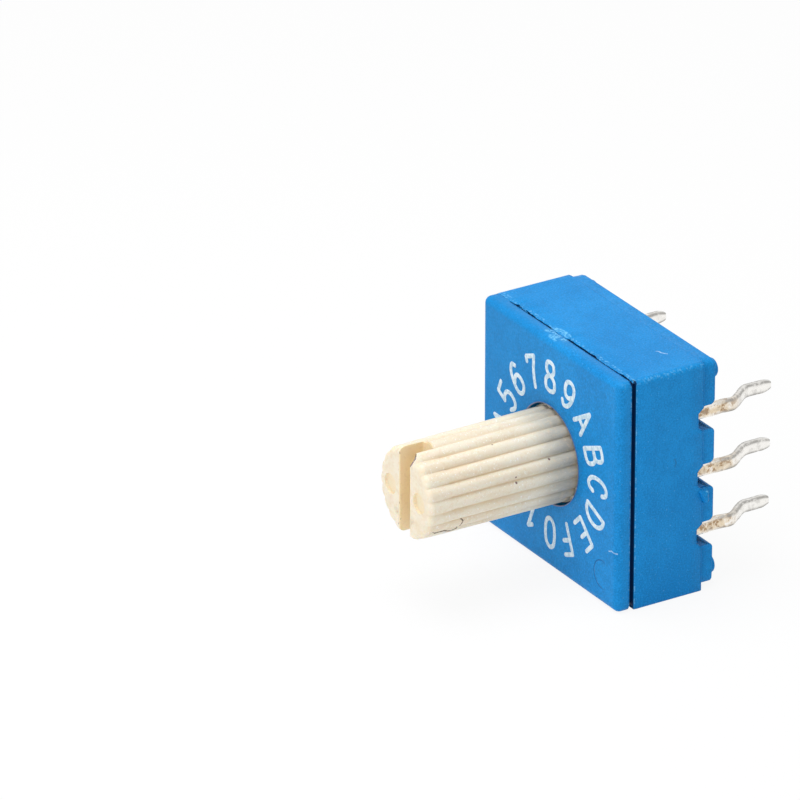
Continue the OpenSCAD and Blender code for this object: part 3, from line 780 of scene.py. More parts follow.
def makeBase():
    # the rear side is one height over x and z: rim, recess, notches and their round corners;
    # its outline is carried down to the case and in to the plate, and a bore is left for the pivot
    size = carrier
    lift = size["lift"]
    out, inner = size["rimOut"], size["rimOut"] - size["rimWidth"]
    top = caseRear + size["rimHeight"]
    wall = notch["width"] / 2
    radius, edge = size["blockRadius"], size["edge"]
    bend = radius * (1 - np.cos(np.linspace(0, math.pi / 2, 8)))
    slim = edge * (1 - np.cos(np.linspace(0, math.pi / 2, 6)))
    zTicks = [lift + np.linspace(-1, 1, 33) * (out - radius)]
    for centre in notch["centres"]:
        for s in (-1, 1):
            zTicks.append(centre + s * (wall + np.concatenate([[-0.02], bend])))
    for s in (-1, 1):
        zTicks.append(lift + s * (out - slim))
        zTicks.append(s * (inner + np.array([-0.01, 0.01, 0.05])))
    zTicks = np.unique(np.round(np.concatenate(zTicks), 5))
    xTicks = [np.linspace(-1, 1, 9) * inner]
    for s in (-1, 1):
        xTicks.append(s * (out - slim))
        xTicks.append(s * (inner + np.array([-0.01, 0.01, 0.05, 0.3, 0.6])))
    xTicks = np.unique(np.round(np.concatenate(xTicks), 5))
    x, z = np.meshgrid(xTicks, zTicks, indexing="ij")
    height = np.full_like(x, top)
    near = np.abs(z[..., None] - np.array(notch["centres"])).min(-1)
    onSide = np.abs(x) > inner
    height = height - np.where(onSide & (near >= wall), roundedStep(near - wall, radius), 0)
    height = height - np.maximum(roundedStep(out - np.abs(x), edge),
                                 roundedStep(out - np.abs(z - lift), edge))
    height = np.where((np.abs(x) < inner) & (np.abs(z) < inner), top - size["bed"], height)
    cut = onSide & (near < wall)
    height = np.where(cut, caseRear, np.maximum(height, caseRear))
    x = np.where(cut, np.clip(x, -size["plateHalf"], size["plateHalf"]), x)
    # the outline's four corners are round seen from behind
    corner = out - size["outlineRadius"]
    overX, overZ = np.abs(x) - corner, np.abs(z - lift) - corner
    past = np.hypot(np.maximum(overX, 0), np.maximum(overZ, 0))
    both = (overX > 0) & (overZ > 0) & (past > 0)
    pull = np.where(both, np.maximum(overX, overZ) / np.maximum(past, 1e-9), 1)
    x = np.where(both, np.sign(x) * (corner + overX * pull), x)
    z = np.where(both, lift + np.sign(z) * (corner + overZ * pull), z)
    rear = place(x, height, z)
    outline = np.concatenate([rear[:, 0], rear[-1, 1:], rear[-2::-1, -1], rear[0, -2:0:-1]])
    flat = outline / mm
    plate = np.clip(flat[:, [0, 2]], -size["plateHalf"], size["plateHalf"])
    angle = np.arctan2(flat[:, 2], flat[:, 0])
    bore = size["boreRadius"]
    # on the top the rim runs up to the case, but for a short stretch where the crease shows
    crease = smoothStep(-3.9, -3.6, flat[:, 0]) - smoothStep(-2.3, -1.9, flat[:, 0])
    nearTop = smoothStep(out - 0.05, out + lift - 0.01, flat[:, 2])
    rise = (half - 0.008 - out - lift) * nearTop * (1 - 0.5 * crease)
    rows = [outline, place(flat[:, 0], caseRear + 0.38, flat[:, 2]),
            place(flat[:, 0], caseRear, flat[:, 2] + rise),
            place(plate[:, 0], caseRear, plate[:, 1]),
            place(plate[:, 0], size["plateFront"], plate[:, 1])]
    for ring, depth in ((bore, size["plateFront"]), (bore, size["boreRear"]), (0, size["boreRear"])):
        rows.append(polar(ring, angle, depth))
    patches = [(rear, False, False), (np.stack(rows), False, True)]
    far, down = arcSteps(6)
    pipEdge = size["pipEdge"]
    radii = np.concatenate([[0, size["pipRadius"]], size["pipRadius"] - pipEdge * down, [0]])
    depths = np.concatenate([[top - 0.3, top - 0.3], seatDepth - pipEdge * far, [seatDepth]])
    for sideX in (-1, 1):
        for sideZ in (-1, 1):
            patches.append(peg(sideX * size["pipAt"], sideZ * size["pipAt"] + lift, radii, depths, 40))
        patches.append((latchNub(sideX), False, True))
    makePiece("baseMoulding", patches, caseBlue, "housing", "base")


def latchNub(side):
    # sections down the nub, each a half oval; at its upper end it laps over the case, lower down
    # it narrows towards the rim, and both ends shrink to a line
    size = carrier
    turn = np.linspace(-math.pi / 2, math.pi / 2, 15)
    shape = np.array([0.0, 0.45, 0.75, 0.9, 0.97, 1.0, 1.0, 0.95, 0.8, 0.55, 0.0])[:, None]
    down = np.array([0.0, 0.03, 0.08, 0.15, 0.25, 0.4, 0.7, 0.85, 0.93, 0.98, 1.0])[:, None]
    z = size["nubTop"] - down * size["nubLength"]
    front = caseRear - size["nubLap"] * (1 - down)
    back = caseRear + size["nubReach"]
    middle, reachAlong = (front + back) / 2, (back - front) / 2
    reach = size["nubHeight"] * shape * np.cos(turn) ** 0.7
    depth = middle + reachAlong * np.sin(turn)
    x = side * (size["rimOut"] + reach)
    x, depth, z = np.broadcast_arrays(x, depth, z)
    insideX = np.broadcast_to(side * (size["rimOut"] - 0.1), x.shape)
    pairs = ((x, insideX), (depth, depth), (z, z))
    return place(*(np.concatenate([outer, inner[:, ::-1]], 1) for outer, inner in pairs))


shaft = {
    "crest": 1.93,
    "root": 1.74,
    "toothRadius": 0.27,
    "teeth": 20,
    "soften": 0.12,
    "fadeAtTip": 0.42,     # share of the groove depth lost at the very tip
    "fadeLength": 1.8,
    "taper": 0.012,
    "channel": 0.32,
    "channelFloor": 1.25,
    "tipRound": 0.25,
    "slotHalf": 0.38,
    "slotDepth": 1.15,
    "slotFillet": 0.08,
    "slotEdge": 0.05,
    "dimpleRadius": 0.43,
    "dimpleAt": 1.06,
    "dimpleDepth": 0.12,
    "markRadius": 0.17,
    "chip": 0.30,
    "journalStart": 0.20,
    "journalRadius": 2.02,
    "flangeFront": 1.22,
    "flangeRear": 1.87,
    "flangeRadius": 3.5,
    "detents": 16,
    "detentRadius": 0.30,
    "hubRadius": 1.1,
    "hubFlats": 0.85,
    "hubRear": 2.42,
    "pivotRadius": 0.6,
    "pivotRear": 3.53,
}
slotFloorDepth = tipDepth + shaft["slotDepth"]


def toothOutline(angle):
    # radius of the ribbed outline: round lobes about evenly spaced centres, blended into the root
    step = 2 * math.pi / shaft["teeth"]
    off = (angle + math.pi / 2 + step / 2) % step - step / 2
    centre = shaft["crest"] - shaft["toothRadius"]
    inside = np.clip(shaft["toothRadius"] ** 2 - (centre * np.sin(off)) ** 2, 0, None)
    lobe = centre * np.cos(off) + np.sqrt(inside)
    gap = lobe - shaft["root"]
    return (lobe + shaft["root"] + np.sqrt(gap * gap + shaft["soften"] ** 2)) / 2


def outlineAt(x, lower):
    # point of the ribbed outline at a given x, found by repeating the radius
    angle = np.full(np.shape(x), math.pi / 2)
    for _ in range(12):
        angle = np.arccos(np.clip(x / toothOutline(angle if not lower else -angle), -1, 1))
    radius = toothOutline(-angle if lower else angle)
    return (-angle if lower else angle), radius


def shaftTaper(depth):
    # the outline is larger by the taper at the front face and smaller by as much at the tip
    return 1 - shaft["taper"] * (2 * depth / tipDepth - 1)


def slotFloor(x):
    # the floor's depth less the fillet times one minus the root of one less the near share squared
    fillet = shaft["slotFillet"]
    near = np.clip((np.abs(x) - shaft["slotHalf"] + fillet) / fillet, 0, 1)
    return slotFloorDepth - fillet * (1 - np.sqrt(1 - near ** 2))


def shaftRuns():
    # x and z of the outline in four runs: ribs on the right, the slot's mouth, ribs on the left,
    # and the channel below
    slot, channel, floorAt = shaft["slotHalf"], shaft["channel"], shaft["channelFloor"]
    mouthX = np.linspace(slot, -slot, 13)
    topAngle, topRadius = outlineAt(mouthX, False)
    edgeAngle = float(topAngle[0])
    rightAngle = np.linspace(-edgeAngle, edgeAngle, 181)
    rightRadius = toothOutline(rightAngle)
    right = np.stack([rightRadius * np.cos(rightAngle), rightRadius * np.sin(rightAngle)], -1)
    edgeZ = topRadius[0] * math.sin(edgeAngle)
    right[0], right[-1] = (slot, -edgeZ), (slot, edgeZ)
    top = np.stack([mouthX, topRadius * np.sin(topAngle)], -1)
    mouth = np.array([channel])
    lip = float(outlineAt(mouth, True)[1][0] * math.sin(-outlineAt(mouth, False)[0][0]))
    low = right[0, 1]
    halfChannel = [(0.02, lip), (0, lip + 0.03), (0, -1.45), (-0.03, -floorAt - 0.03), (-0.06, -floorAt)]
    bottom = np.array([(-slot, low)] + [(-channel - out, z) for out, z in halfChannel] + [(0, -floorAt)]
                      + [(channel + out, z) for out, z in halfChannel[::-1]] + [(slot, low)])
    return right, top, right[::-1] * (-1, 1), bottom


def turnedRings(around):
    # behind the cover: journal, flange with its detents, hub with two flats, and pivot
    size = shaft
    pitch = 2 * math.pi / size["detents"]
    off = (around + pitch / 2) % pitch - pitch / 2
    inside = np.clip(size["detentRadius"] ** 2 - (size["flangeRadius"] * np.sin(off)) ** 2, 0, None)
    notched = size["flangeRadius"] * np.cos(off) - np.sqrt(inside)
    flange = np.where(inside > 0, notched, size["flangeRadius"])
    hub = np.minimum(size["hubRadius"], size["hubFlats"] / np.maximum(np.abs(np.cos(around)), 1e-3))
    journal, pivot, end = size["journalRadius"], size["pivotRadius"], size["pivotRear"]
    rings = ((journal - 0.04, size["journalStart"]), (journal, size["journalStart"] + 0.04),
             (journal, size["flangeFront"]), (flange, size["flangeFront"]), (flange, size["flangeRear"]),
             (hub, size["flangeRear"]), (hub, size["hubRear"]), (pivot, size["hubRear"]),
             (pivot, end - 0.05), (pivot - 0.05, end), (0.0, end))
    return [polar(radius, around, depth) for radius, depth in rings]


def shaftHalf(right, top):
    # x, depth and z of one half beside the slot: out to the rounded tip, in over the end face
    # and down into its recess
    size = shaft
    slot, dimple, low = size["slotHalf"], size["dimpleRadius"], right[0, 1]
    chord = np.linspace(1, 0, 17)[1:-1]
    chordZ = low + (top[0, 1] - low) * chord
    loop = np.concatenate([right, np.stack([np.full(len(chord), slot), chordZ], -1)])
    onChord = np.arange(len(loop)) >= len(right)
    tipRound, slotEdge = size["tipRound"], size["slotEdge"]
    start = slotFloorDepth - size["slotFillet"]
    tipDrops = tipRound * (1 - np.cos(np.linspace(math.pi / 2, 0, 12)))
    drops = np.concatenate([tipDrops, slotEdge * np.array([0.6, 0.3, 0.1])])
    levels = tipDepth + np.sort(np.unique(drops))[::-1]
    shank = np.linspace(start - 0.15, tipDepth + tipRound + 0.06, 5)
    rows = []
    plain = np.hypot(loop[:, 0], loop[:, 1])
    for depth in np.concatenate([[start, start - 0.03], shank, levels]):
        drop = depth - tipDepth
        part = min(drop / tipRound, 1)
        faded = 1 - size["fadeAtTip"] * (1 - smoothStep(0.1, size["fadeLength"], drop))
        radius = np.where(onChord, plain, size["crest"] + (plain - size["crest"]) * faded)
        share = (radius - tipRound * (1 - math.sqrt(max(1 - (1 - part) ** 2, 0)))) / plain
        share = np.where(onChord, 1, share)
        edgePart = min(drop / slotEdge, 1)
        inner = slot + slotEdge * (1 - math.sqrt(max(1 - (1 - edgePart) ** 2, 0)))
        scale = shaftTaper(depth)
        x, z = loop[:, 0] * share * scale, loop[:, 1] * share * scale
        x = np.where(onChord, inner, np.maximum(x, inner))
        x[[0, len(right) - 1]] = inner
        rows.append(np.stack([x, np.full(len(x), depth), z], -1))
    lastX, lastZ = rows[-1][:, 0], rows[-1][:, 2]
    bearing = np.arctan2(lastZ, lastX - size["dimpleAt"])
    ringX, ringZ = size["dimpleAt"] + dimple * np.cos(bearing), dimple * np.sin(bearing)
    for part in (0.04, 0.12, 0.22, 0.32, 0.42, 0.52, 0.62, 0.72, 0.82, 0.92, 1.0):
        x, z = lastX + (ringX - lastX) * part, lastZ + (ringZ - lastZ) * part
        off = np.hypot(x - slot - size["markRadius"], z + size["dimpleAt"])
        sunk = size["dimpleDepth"] * smoothStep(size["markRadius"] + 0.03, size["markRadius"] - 0.05, off)
        rows.append(np.stack([x, tipDepth + sunk, z], -1))
    for shrunk, deep in ((0.99, 0.2), (0.96, 0.7), (0.92, 1.0), (0.5, 1.0), (0.0, 1.0)):
        x = size["dimpleAt"] + dimple * shrunk * np.cos(bearing)
        depth = np.full(len(x), tipDepth + size["dimpleDepth"] * deep)
        rows.append(np.stack([x, depth, dimple * shrunk * np.sin(bearing)], -1))
    return np.moveaxis(np.stack(rows), -1, 0)


def makeRotor():
    # one closed skin: the ribbed outline carried along the shaft and on through the turned rings,
    # with the slot's floor and the two halves beside it on top
    slot = shaft["slotHalf"]
    right, top, left, bottom = shaftRuns()
    runs = (right, top[1:-1], left, bottom[1:-1])
    loop = np.concatenate(runs)
    onRibs = np.repeat([True, False, True, False], [len(run) for run in runs])
    firstDepth = np.where(onRibs, slotFloorDepth - shaft["slotFillet"], slotFloor(loop[:, 0]))
    rows = []
    for part in (0, 0.02, 0.06, 0.12, 0.2, 0.3, 0.4, 0.5, 0.6, 0.7, 0.8, 0.88, 0.94, 0.98, 1.0):
        depth = firstDepth + (shaft["journalStart"] - firstDepth) * part
        scale = shaftTaper(depth)
        keep = np.abs(loop[:, 0]) < slot + 1e-6
        x = np.where(keep & (part == 0), loop[:, 0], loop[:, 0] * scale)
        rows.append(place(x, depth, loop[:, 1] * scale))
    around = np.arctan2(loop[:, 1], loop[:, 0])
    count = len(bottom)
    lowAngle = np.arctan2(right[0, 1], slot)
    around[-(count - 2):] = np.linspace(-math.pi - lowAngle, lowAngle, count)[1:-1]
    patches = [(np.stack(rows + turnedRings(around)), False, True)]
    across = np.linspace(0, 1, 17)[:, None]
    floorX, floorZ = [(1 - across) * bottom[None, :, axis] + across * top[None, ::-1, axis]
                      for axis in (0, 1)]
    floorDepth = slotFloor(floorX)
    patches.append((place(floorX, floorDepth, floorZ * shaftTaper(floorDepth)), False, False))
    x, depth, z = shaftHalf(right, top)
    patches.append((place(-x, depth, z), False, True))
    # the upper slot corner of the other half is broken off at a slant
    reach = smoothStep(1.30, 1.75, z) * (1 - smoothStep(0.40, 0.85, x))
    patches.insert(2, (place(x, np.maximum(depth, tipDepth + shaft["chip"] * reach), z), False, True))
    makePiece("rotorMoulding", patches, shaftCream, "rotor_group", "rotor", 50)


strip = {
    "width": 0.54,
    "legWidth": 0.50,
    "thickness": 0.25,
    "edge": 0.045,
    "riserX": 3.70,
    "padLength": 0.75,
    "padDepth": 2.955,
    "stripDepth": 3.905,
    "legX": 4.45,
    "rowHalf": 3.79,
    "joggleStart": 0.70,
    "joggleLength": 1.30,
    "tipWidth": 0.34,
    "tipLength": 0.35,
    "lift": 0.09,        # the strips sit a little high in their notches
    "dents": 0.009,
}


def cornerPath(corners, radii, steps=7):
    # straight runs between corners, each corner cut by an arc that touches both runs
    corners = np.array(corners, float)
    points = [corners[:1]]
    for before, corner, after, radius in zip(corners[:-2], corners[1:-1], corners[2:], radii):
        into = (before - corner) / np.linalg.norm(before - corner)
        away = (after - corner) / np.linalg.norm(after - corner)
        cut = radius / math.tan(math.acos(np.clip(into @ away, -1, 1)) / 2)
        middle = corner + (into + away) / np.linalg.norm(into + away) * math.hypot(radius, cut)
        first, last = corner + into * cut - middle, corner + away * cut - middle
        turn = np.linspace(0, 1, steps)[:, None]
        swing = math.acos(np.clip(first @ last / radius ** 2, -1, 1))
        arc = (np.sin((1 - turn) * swing) * first + np.sin(turn * swing) * last) / math.sin(swing)
        points.append(middle + arc)
    points.append(corners[-1:])
    return np.concatenate(points)


def sectionLoop():
    # a rounded rectangle as signs and turns, with extra places across the wide faces, and a tone
    # that is 1 along its edges
    corner = np.linspace(0, math.pi / 2, 4)
    across = np.array([0.85, 0.6, 0.3, 0, -0.3, -0.6, -0.85])
    parts = [(1, 1, corner, 1), (0, 1, math.pi / 2, 0.4), (-1, 1, corner + math.pi / 2, 1),
             (-1, across, math.pi, None), (-1, -1, corner + math.pi, 1), (0, -1, 1.5 * math.pi, 0.4),
             (1, -1, corner + 1.5 * math.pi, 1), (1, -across, 0.0, None)]
    signs = [np.stack(np.broadcast_arrays(n, w, turn, 1.0 if tone is None else tone), -1).reshape(-1, 4)
             for n, w, turn, tone in parts]
    loop = np.concatenate(signs)
    flat = np.concatenate([np.full(len(block), part[3] is None) for block, part in zip(signs, parts)])
    loop[flat, 3] = smoothStep(0.5, 1.1, np.abs(loop[flat, 1]))
    return loop


def makeStrip(name, node, side, centreZ, kink, seed):
    # a rounded rectangle carried along the middle line of the strip: pad, riser, way through
    # the wall, corner, S bend and leg; the section narrows to a round tip
    size = strip
    corners = [(size["riserX"] - size["padLength"], size["padDepth"]), (size["riserX"], size["padDepth"]),
               (size["riserX"], size["stripDepth"]), (size["legX"], size["stripDepth"]), (size["legX"], 4.3)]
    path = cornerPath(corners, (0.13, 0.13, 0.20))
    legDepth = np.linspace(4.36, pinEnd - 0.06, 70)
    past = legDepth - seatDepth
    t = np.clip((past - size["joggleStart"]) / size["joggleLength"], 0, 1)
    legX = size["legX"] - (size["legX"] - size["rowHalf"]) * (1 - np.cos(math.pi * t)) / 2
    legX = legX + kink * np.exp(-((past - size["joggleStart"] + 0.05) / 0.32) ** 2)
    path = np.concatenate([path, np.stack([legX, legDepth], -1)])
    slope = np.gradient(path, axis=0)
    slope = slope / np.linalg.norm(slope, axis=1, keepdims=True)
    normal = np.stack([slope[:, 1], -slope[:, 0]], -1)
    narrow = np.clip((path[:, 1] - seatDepth) / (size["joggleStart"] + size["joggleLength"] / 2), 0, 1)
    fromTip = pinEnd - 0.06 - path[:, 1]
    onLeg = (path[:, 1] > 4.3) & (fromTip < size["tipLength"])
    share = np.where(onLeg, 1 - fromTip / size["tipLength"], 0)
    width = size["width"] + (size["legWidth"] - size["width"]) * narrow
    halfWidth = (width + (size["tipWidth"] - width) * share ** 1.6) / 2
    halfThick = size["thickness"] / 2 * (1 - 0.2 * share ** 2)
    loop = sectionLoop()
    edge = size["edge"]
    offN = loop[:, 0] * (halfThick[:, None] - edge) + edge * np.cos(loop[:, 2])
    offW = loop[:, 1] * (halfWidth[:, None] - edge) + edge * np.sin(loop[:, 2])
    along = np.arange(len(path))[:, None] * 0.06
    wave = np.random.default_rng(seed).uniform(0, 2 * math.pi, 6)
    dent = (np.sin(5.1 * along + wave[0] + 4 * offW) + np.sin(8.3 * along + wave[1] - 9 * offW)
            + 0.6 * np.sin(15.0 * along + wave[2] + 14 * offW)) * size["dents"] / 2
    outside = (path[:, 1] > 4.1)[:, None]
    offN = offN + np.where(outside, dent, 0) * np.sign(loop[:, 0])
    offW = offW + np.where(outside, np.sin(4.0 * along + wave[3]) * 0.008, 0)
    x = path[:, :1] + normal[:, :1] * offN
    depth = path[:, 1:] + normal[:, 1:] * offN
    lift = size["lift"] * smoothStep(3.6, 4.2, path[:, 1])[:, None] * (path[:, 1:] > 3.8)
    z = centreZ + lift + offW
    rows = np.stack([side * x, depth, z], -1)
    first = np.broadcast_to(rows[:1].mean(1, keepdims=True), rows[:1].shape)
    middle = rows[-1:].mean(1, keepdims=True)
    tipRounding = ((0.9, 0.03), (0.65, 0.052), (0.0, 0.06))
    caps = [middle + (rows[-1:] - middle) * shrunk + np.array([0, out, 0]) for shrunk, out in tipRounding]
    rows = np.concatenate([first, rows] + caps)
    tone = np.broadcast_to(loop[:, 3], rows.shape[:2])
    patches = [(place(rows[..., 0], rows[..., 1], rows[..., 2]), False, True)]
    makePiece(name, patches, tinnedStrip, "housing", node, 60, [tone])


dial = {
    "radius": 3.46,      # middle of the characters
    "height": 1.45,
    "width": 0.72,
    "stroke": 0.097,     # half width
    "raise": 0.018,
    # how far each character stands off its even place
    "nudges": {"0": (0.12, 0.05), "1": (0.10, 0.03), "5": (0.09, -0.05), "6": (0.045, -0.10),
               "7": (0.11, -0.05), "8": (0.04, -0.045), "9": (0.035, -0.05), "A": (0.035, 0.025),
               "B": (0.055, -0.035), "C": (0.08, 0.03), "D": (0.12, -0.07), "E": (0.13, 0.0),
               "F": (0.0, -0.01)},
    "plainNudge": (0.06, 0),
}
# Strokes of each character in a box one high and one wide: "s" straight, "c" curved, "o" closed curve
glyphs = {
    "0": [("o", [(0, .5), (.36, .36), (.46, 0), (.36, -.36),
                 (0, -.5), (-.36, -.36), (-.46, 0), (-.36, .36)])],
    "1": [("s", [(-.28, .3), (.04, .5), (.04, -.5)])],
    "2": [("c", [(-.42, .22), (-.34, .42), (0, .5), (.36, .4),
                 (.4, .16), (.12, -.12), (-.26, -.34), (-.44, -.48)]),
          ("s", [(-.44, -.48), (.46, -.48)])],
    "3": [("c", [(-.4, .34), (-.1, .5), (.28, .44), (.36, .22), (.14, .06), (-.1, .03)]),
          ("c", [(-.1, .03), (.24, 0), (.44, -.2), (.3, -.44), (-.06, -.5), (-.44, -.32)])],
    "4": [("s", [(.18, -.5), (.18, .5), (-.46, -.2), (.46, -.2)])],
    "5": [("s", [(.38, .5), (-.3, .5), (-.38, .06)]),
          ("c", [(-.38, .06), (-.1, .14), (.26, .08), (.42, -.16), (.26, -.44), (-.08, -.5), (-.44, -.36)])],
    "6": [("c", [(.36, .38), (.1, .5), (-.26, .34), (-.44, -.04), (-.36, -.38), (0, -.5), (.36, -.38),
                 (.42, -.16), (.26, .06), (-.06, .1), (-.38, -.06)])],
    "7": [("s", [(-.44, .34), (-.42, .5), (.42, .5)]),
          ("c", [(.42, .5), (.14, .14), (-.02, -.2), (-.08, -.5)])],
    "8": [("o", [(0, .5), (.32, .42), (.34, .18), (0, .03), (-.34, .18), (-.32, .42)]),
          ("o", [(0, .03), (.4, -.12), (.4, -.4), (0, -.5), (-.4, -.4), (-.4, -.12)])],
    "A": [("s", [(-.46, -.5), (0, .5), (.46, -.5)]), ("s", [(-.3, -.18), (.3, -.18)])],
    "B": [("s", [(-.4, -.5), (-.4, .5)]),
          ("c", [(-.4, .5), (.1, .5), (.36, .4), (.36, .14), (.1, .03), (-.4, .03)]),
          ("c", [(-.4, .03), (.14, .03), (.44, -.1), (.44, -.4), (.14, -.5), (-.4, -.5)])],
    "C": [("c", [(.42, .26), (.26, .46), (-.06, .5), (-.36, .32), (-.46, 0),
                 (-.36, -.32), (-.06, -.5), (.26, -.46), (.42, -.26)])],
    "D": [("s", [(-.4, -.5), (-.4, .5)]),
          ("c", [(-.4, .5), (.02, .46), (.36, .26), (.46, 0), (.36, -.26), (.02, -.46), (-.4, -.5)])],
    "E": [("s", [(.42, .5), (-.38, .5), (-.38, -.5), (.42, -.5)]), ("s", [(-.38, .03), (.3, .03)])],
    "F": [("s", [(.42, .5), (-.36, .5), (-.36, -.5)]), ("s", [(-.36, .03), (.28, .03)])],
}
glyphs["9"] = [(kind, [(-x, -z) for x, z in points]) for kind, points in glyphs["6"]]   # a six upside down
dialOrder = "0123456789ABCDEF"


def curveThrough(points, closed, steps=8):
    # a smooth curve through every point, each span weighed from its four nearest points
    points = np.array(points, float)
    if closed:
        padded = np.concatenate([points[-1:], points, points[:2]])
    else:
        padded = np.concatenate([2 * points[:1] - points[1:2], points, 2 * points[-1:] - points[-2:-1]])
    t = np.linspace(0, 1, steps, endpoint=False)[None, :, None]
    a, b, c, d = (padded[k:len(padded) - 3 + k, None] for k in range(4))
    spans = 0.5 * (2 * b + (c - a) * t + (2 * a - 5 * b + 4 * c - d) * t ** 2
                   + (3 * b - a - 3 * c + d) * t ** 3)
    curve = spans.reshape(-1, 2)
    return curve if closed else np.concatenate([curve, points[-1:]])


def inkStroke(path, closed, halfWidth, rise, sink):
    # a ribbon along a flat path with a low domed section; its ends are round.
    # returns along, across and height for every point of a closed tube
    path = np.array(path, float)
    if closed:
        slope = np.roll(path, -1, 0) - np.roll(path, 1, 0)
        grow = np.ones(len(path))
    else:
        length = np.concatenate([[0], np.cumsum(np.linalg.norm(np.diff(path, axis=0), axis=1))])
        fine = np.linspace(0, length[-1], max(int(length[-1] / halfWidth * 2), 4))
        cap = halfWidth * (1 - np.cos(np.linspace(0, math.pi / 2, 6)))
        middle = fine[(fine > halfWidth) & (fine < length[-1] - halfWidth)]
        fine = np.unique(np.concatenate([cap, middle, length[-1] - cap]))
        path = np.stack([np.interp(fine, length, path[:, k]) for k in (0, 1)], -1)
        slope = np.gradient(path, axis=0)
        fromEnd = np.minimum(fine, fine[-1] - fine)
        grow = np.sqrt(np.clip(1 - (1 - np.clip(fromEnd / halfWidth, 0, 1)) ** 2, 0, 1))
    slope = slope / np.maximum(np.linalg.norm(slope, axis=1, keepdims=True), 1e-9)
    normal = np.stack([-slope[:, 1], slope[:, 0]], -1)
    across = np.array([-1, -0.9, -0.6, 0, 0.6, 0.9, 1, 0.6, 0, -0.6])
    height = np.array([0, 0.7, 0.95, 1, 0.95, 0.7, 0, -1, -1, -1])
    spread = (grow * halfWidth)[:, None]
    flat = path[:, None] + normal[:, None] * (spread * across)[..., None]
    level = np.where(height > 0, height * rise, height * sink)[None] * np.ones_like(spread)
    return flat, level


def extendEnds(path, amount):
    # both ends moved outwards along their last stretch
    path = np.array(path, float)
    first = (path[0] - path[1]) / np.linalg.norm(path[0] - path[1])
    last = (path[-1] - path[-2]) / np.linalg.norm(path[-1] - path[-2])
    path[0], path[-1] = path[0] + first * amount, path[-1] + last * amount
    return path


def makeDial():
    # every character stands on a circle round the shaft with its top outwards, clockwise from the bottom
    size = dial
    patches = []
    for number, character in enumerate(dialOrder):
        angle = -math.pi / 2 - number * 2 * math.pi / len(dialOrder)
        up = np.array([math.cos(angle), math.sin(angle)])
        across = np.array([math.sin(angle), -math.cos(angle)])
        nudge = size["nudges"].get(character, size["plainNudge"])
        for kind, points in glyphs[character]:
            local = np.array(points) * (size["width"], size["height"] - 2 * size["stroke"])
            if kind == "s":
                pieces = [(np.stack([local[k], local[k + 1]]), False) for k in range(len(local) - 1)]
            else:
                pieces = [(curveThrough(local, kind == "o"), kind == "o")]
            for path, closed in pieces:
                if not closed:
                    path = extendEnds(path, size["stroke"] * 0.9)
                flat, level = inkStroke(path, closed, size["stroke"], size["raise"], 0.02)
                spread = up * (size["radius"] + flat[..., 1:]) + across * flat[..., :1] + nudge
                patches.append((place(spread[..., 0], -level, spread[..., 1]), closed, True))
    makePiece("dialCharacters", patches, dialInk, "housing")


coverBlue = makeBlue("coverBlue", coverMarks, True)
caseBlue = makeBlue("caseBlue", caseMarks, False)
shaftCream = makeCream("shaftCream")
tinnedStrip = makeTinned("tinnedStrip")
dialInk = makePlain("dialInk", rgb(0.44, 0.62, 0.76), rgb(0.72, 0.83, 0.90), 7.0, 0.0, (0.5, 0.7), 0.004)
resinBlack = makePlain("resinBlack", rgb(0.012, 0.012, 0.014), rgb(0.02, 0.02, 0.022), 1.5, 0.0,
                       (0.12, 0.25), 0.01)
sealRubber = makePlain("sealRubber", rgb(0.015, 0.015, 0.015), rgb(0.03, 0.03, 0.03), 5.0, 0.0,
                       (0.6, 0.8), 0.01)
springSteel = makePlain("springSteel", rgb(0.55, 0.55, 0.56), rgb(0.66, 0.66, 0.68), 8.0, 1.0,
                        (0.2, 0.4), 0.002)
boardGreen = makePlain("boardGreen", rgb(0.02, 0.10, 0.04), rgb(0.03, 0.14, 0.06), 6.0, 0.0,
                       (0.35, 0.5), 0.004)
contactGold = makePlain("contactGold", rgb(0.80, 0.58, 0.22), rgb(0.88, 0.68, 0.32), 6.0, 1.0,
                        (0.15, 0.3), 0.002)
print("materials made")

makeCover()
makeCase()
makeBase()
makeRotor()
# each strip: side, height, outward kink before its bend, seed of its dents
strips = {
    "terminal_1": (1, 2.54, 0.06, 3),
    "terminal_common_right": (1, 0.0, 0.04, 5),
    "terminal_8": (1, -2.54, 0.05, 8),
    "terminal_2": (-1, 2.54, 0.05, 11),
    "terminal_common_left": (-1, 0.0, 0.03, 13),
    "terminal_4": (-1, -2.54, 0.04, 17),
}
for node, (side, centreZ, kink, seed) in strips.items():
    makeStrip(node.replace("terminal", "strip"), node, side, centreZ, kink, seed)
makeDial()

nodeLooks = {"base_resin": resinBlack, "shaft_seal": sealRubber, "detent_spring_left": springSteel,
             "detent_spring_right": springSteel, "code_disc": boardGreen, "code_plate": contactGold}
for node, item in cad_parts.items():
    look = contactGold if node.startswith("contact") else nodeLooks.get(node)
    if look:
        item.data.materials.clear()
        item.data.materials.append(look)
print("hidden nodes dressed")


stage = {"floorSize": 0.6, "floorColour": rgb(0.90, 0.90, 0.90), "glow": 0.90, "sky": 0.60}


def seenDirectly(tree):
    # 1 for rays from the camera, in reflections and through clear pieces, 0 for light that bounces
    path = addNode(tree, "ShaderNodeLightPath")
    seen = mathNode(tree, "ADD", path.outputs["Is Camera Ray"], path.outputs["Is Glossy Ray"], True)
    return mathNode(tree, "ADD", seen, path.outputs["Is Transmission Ray"], True)


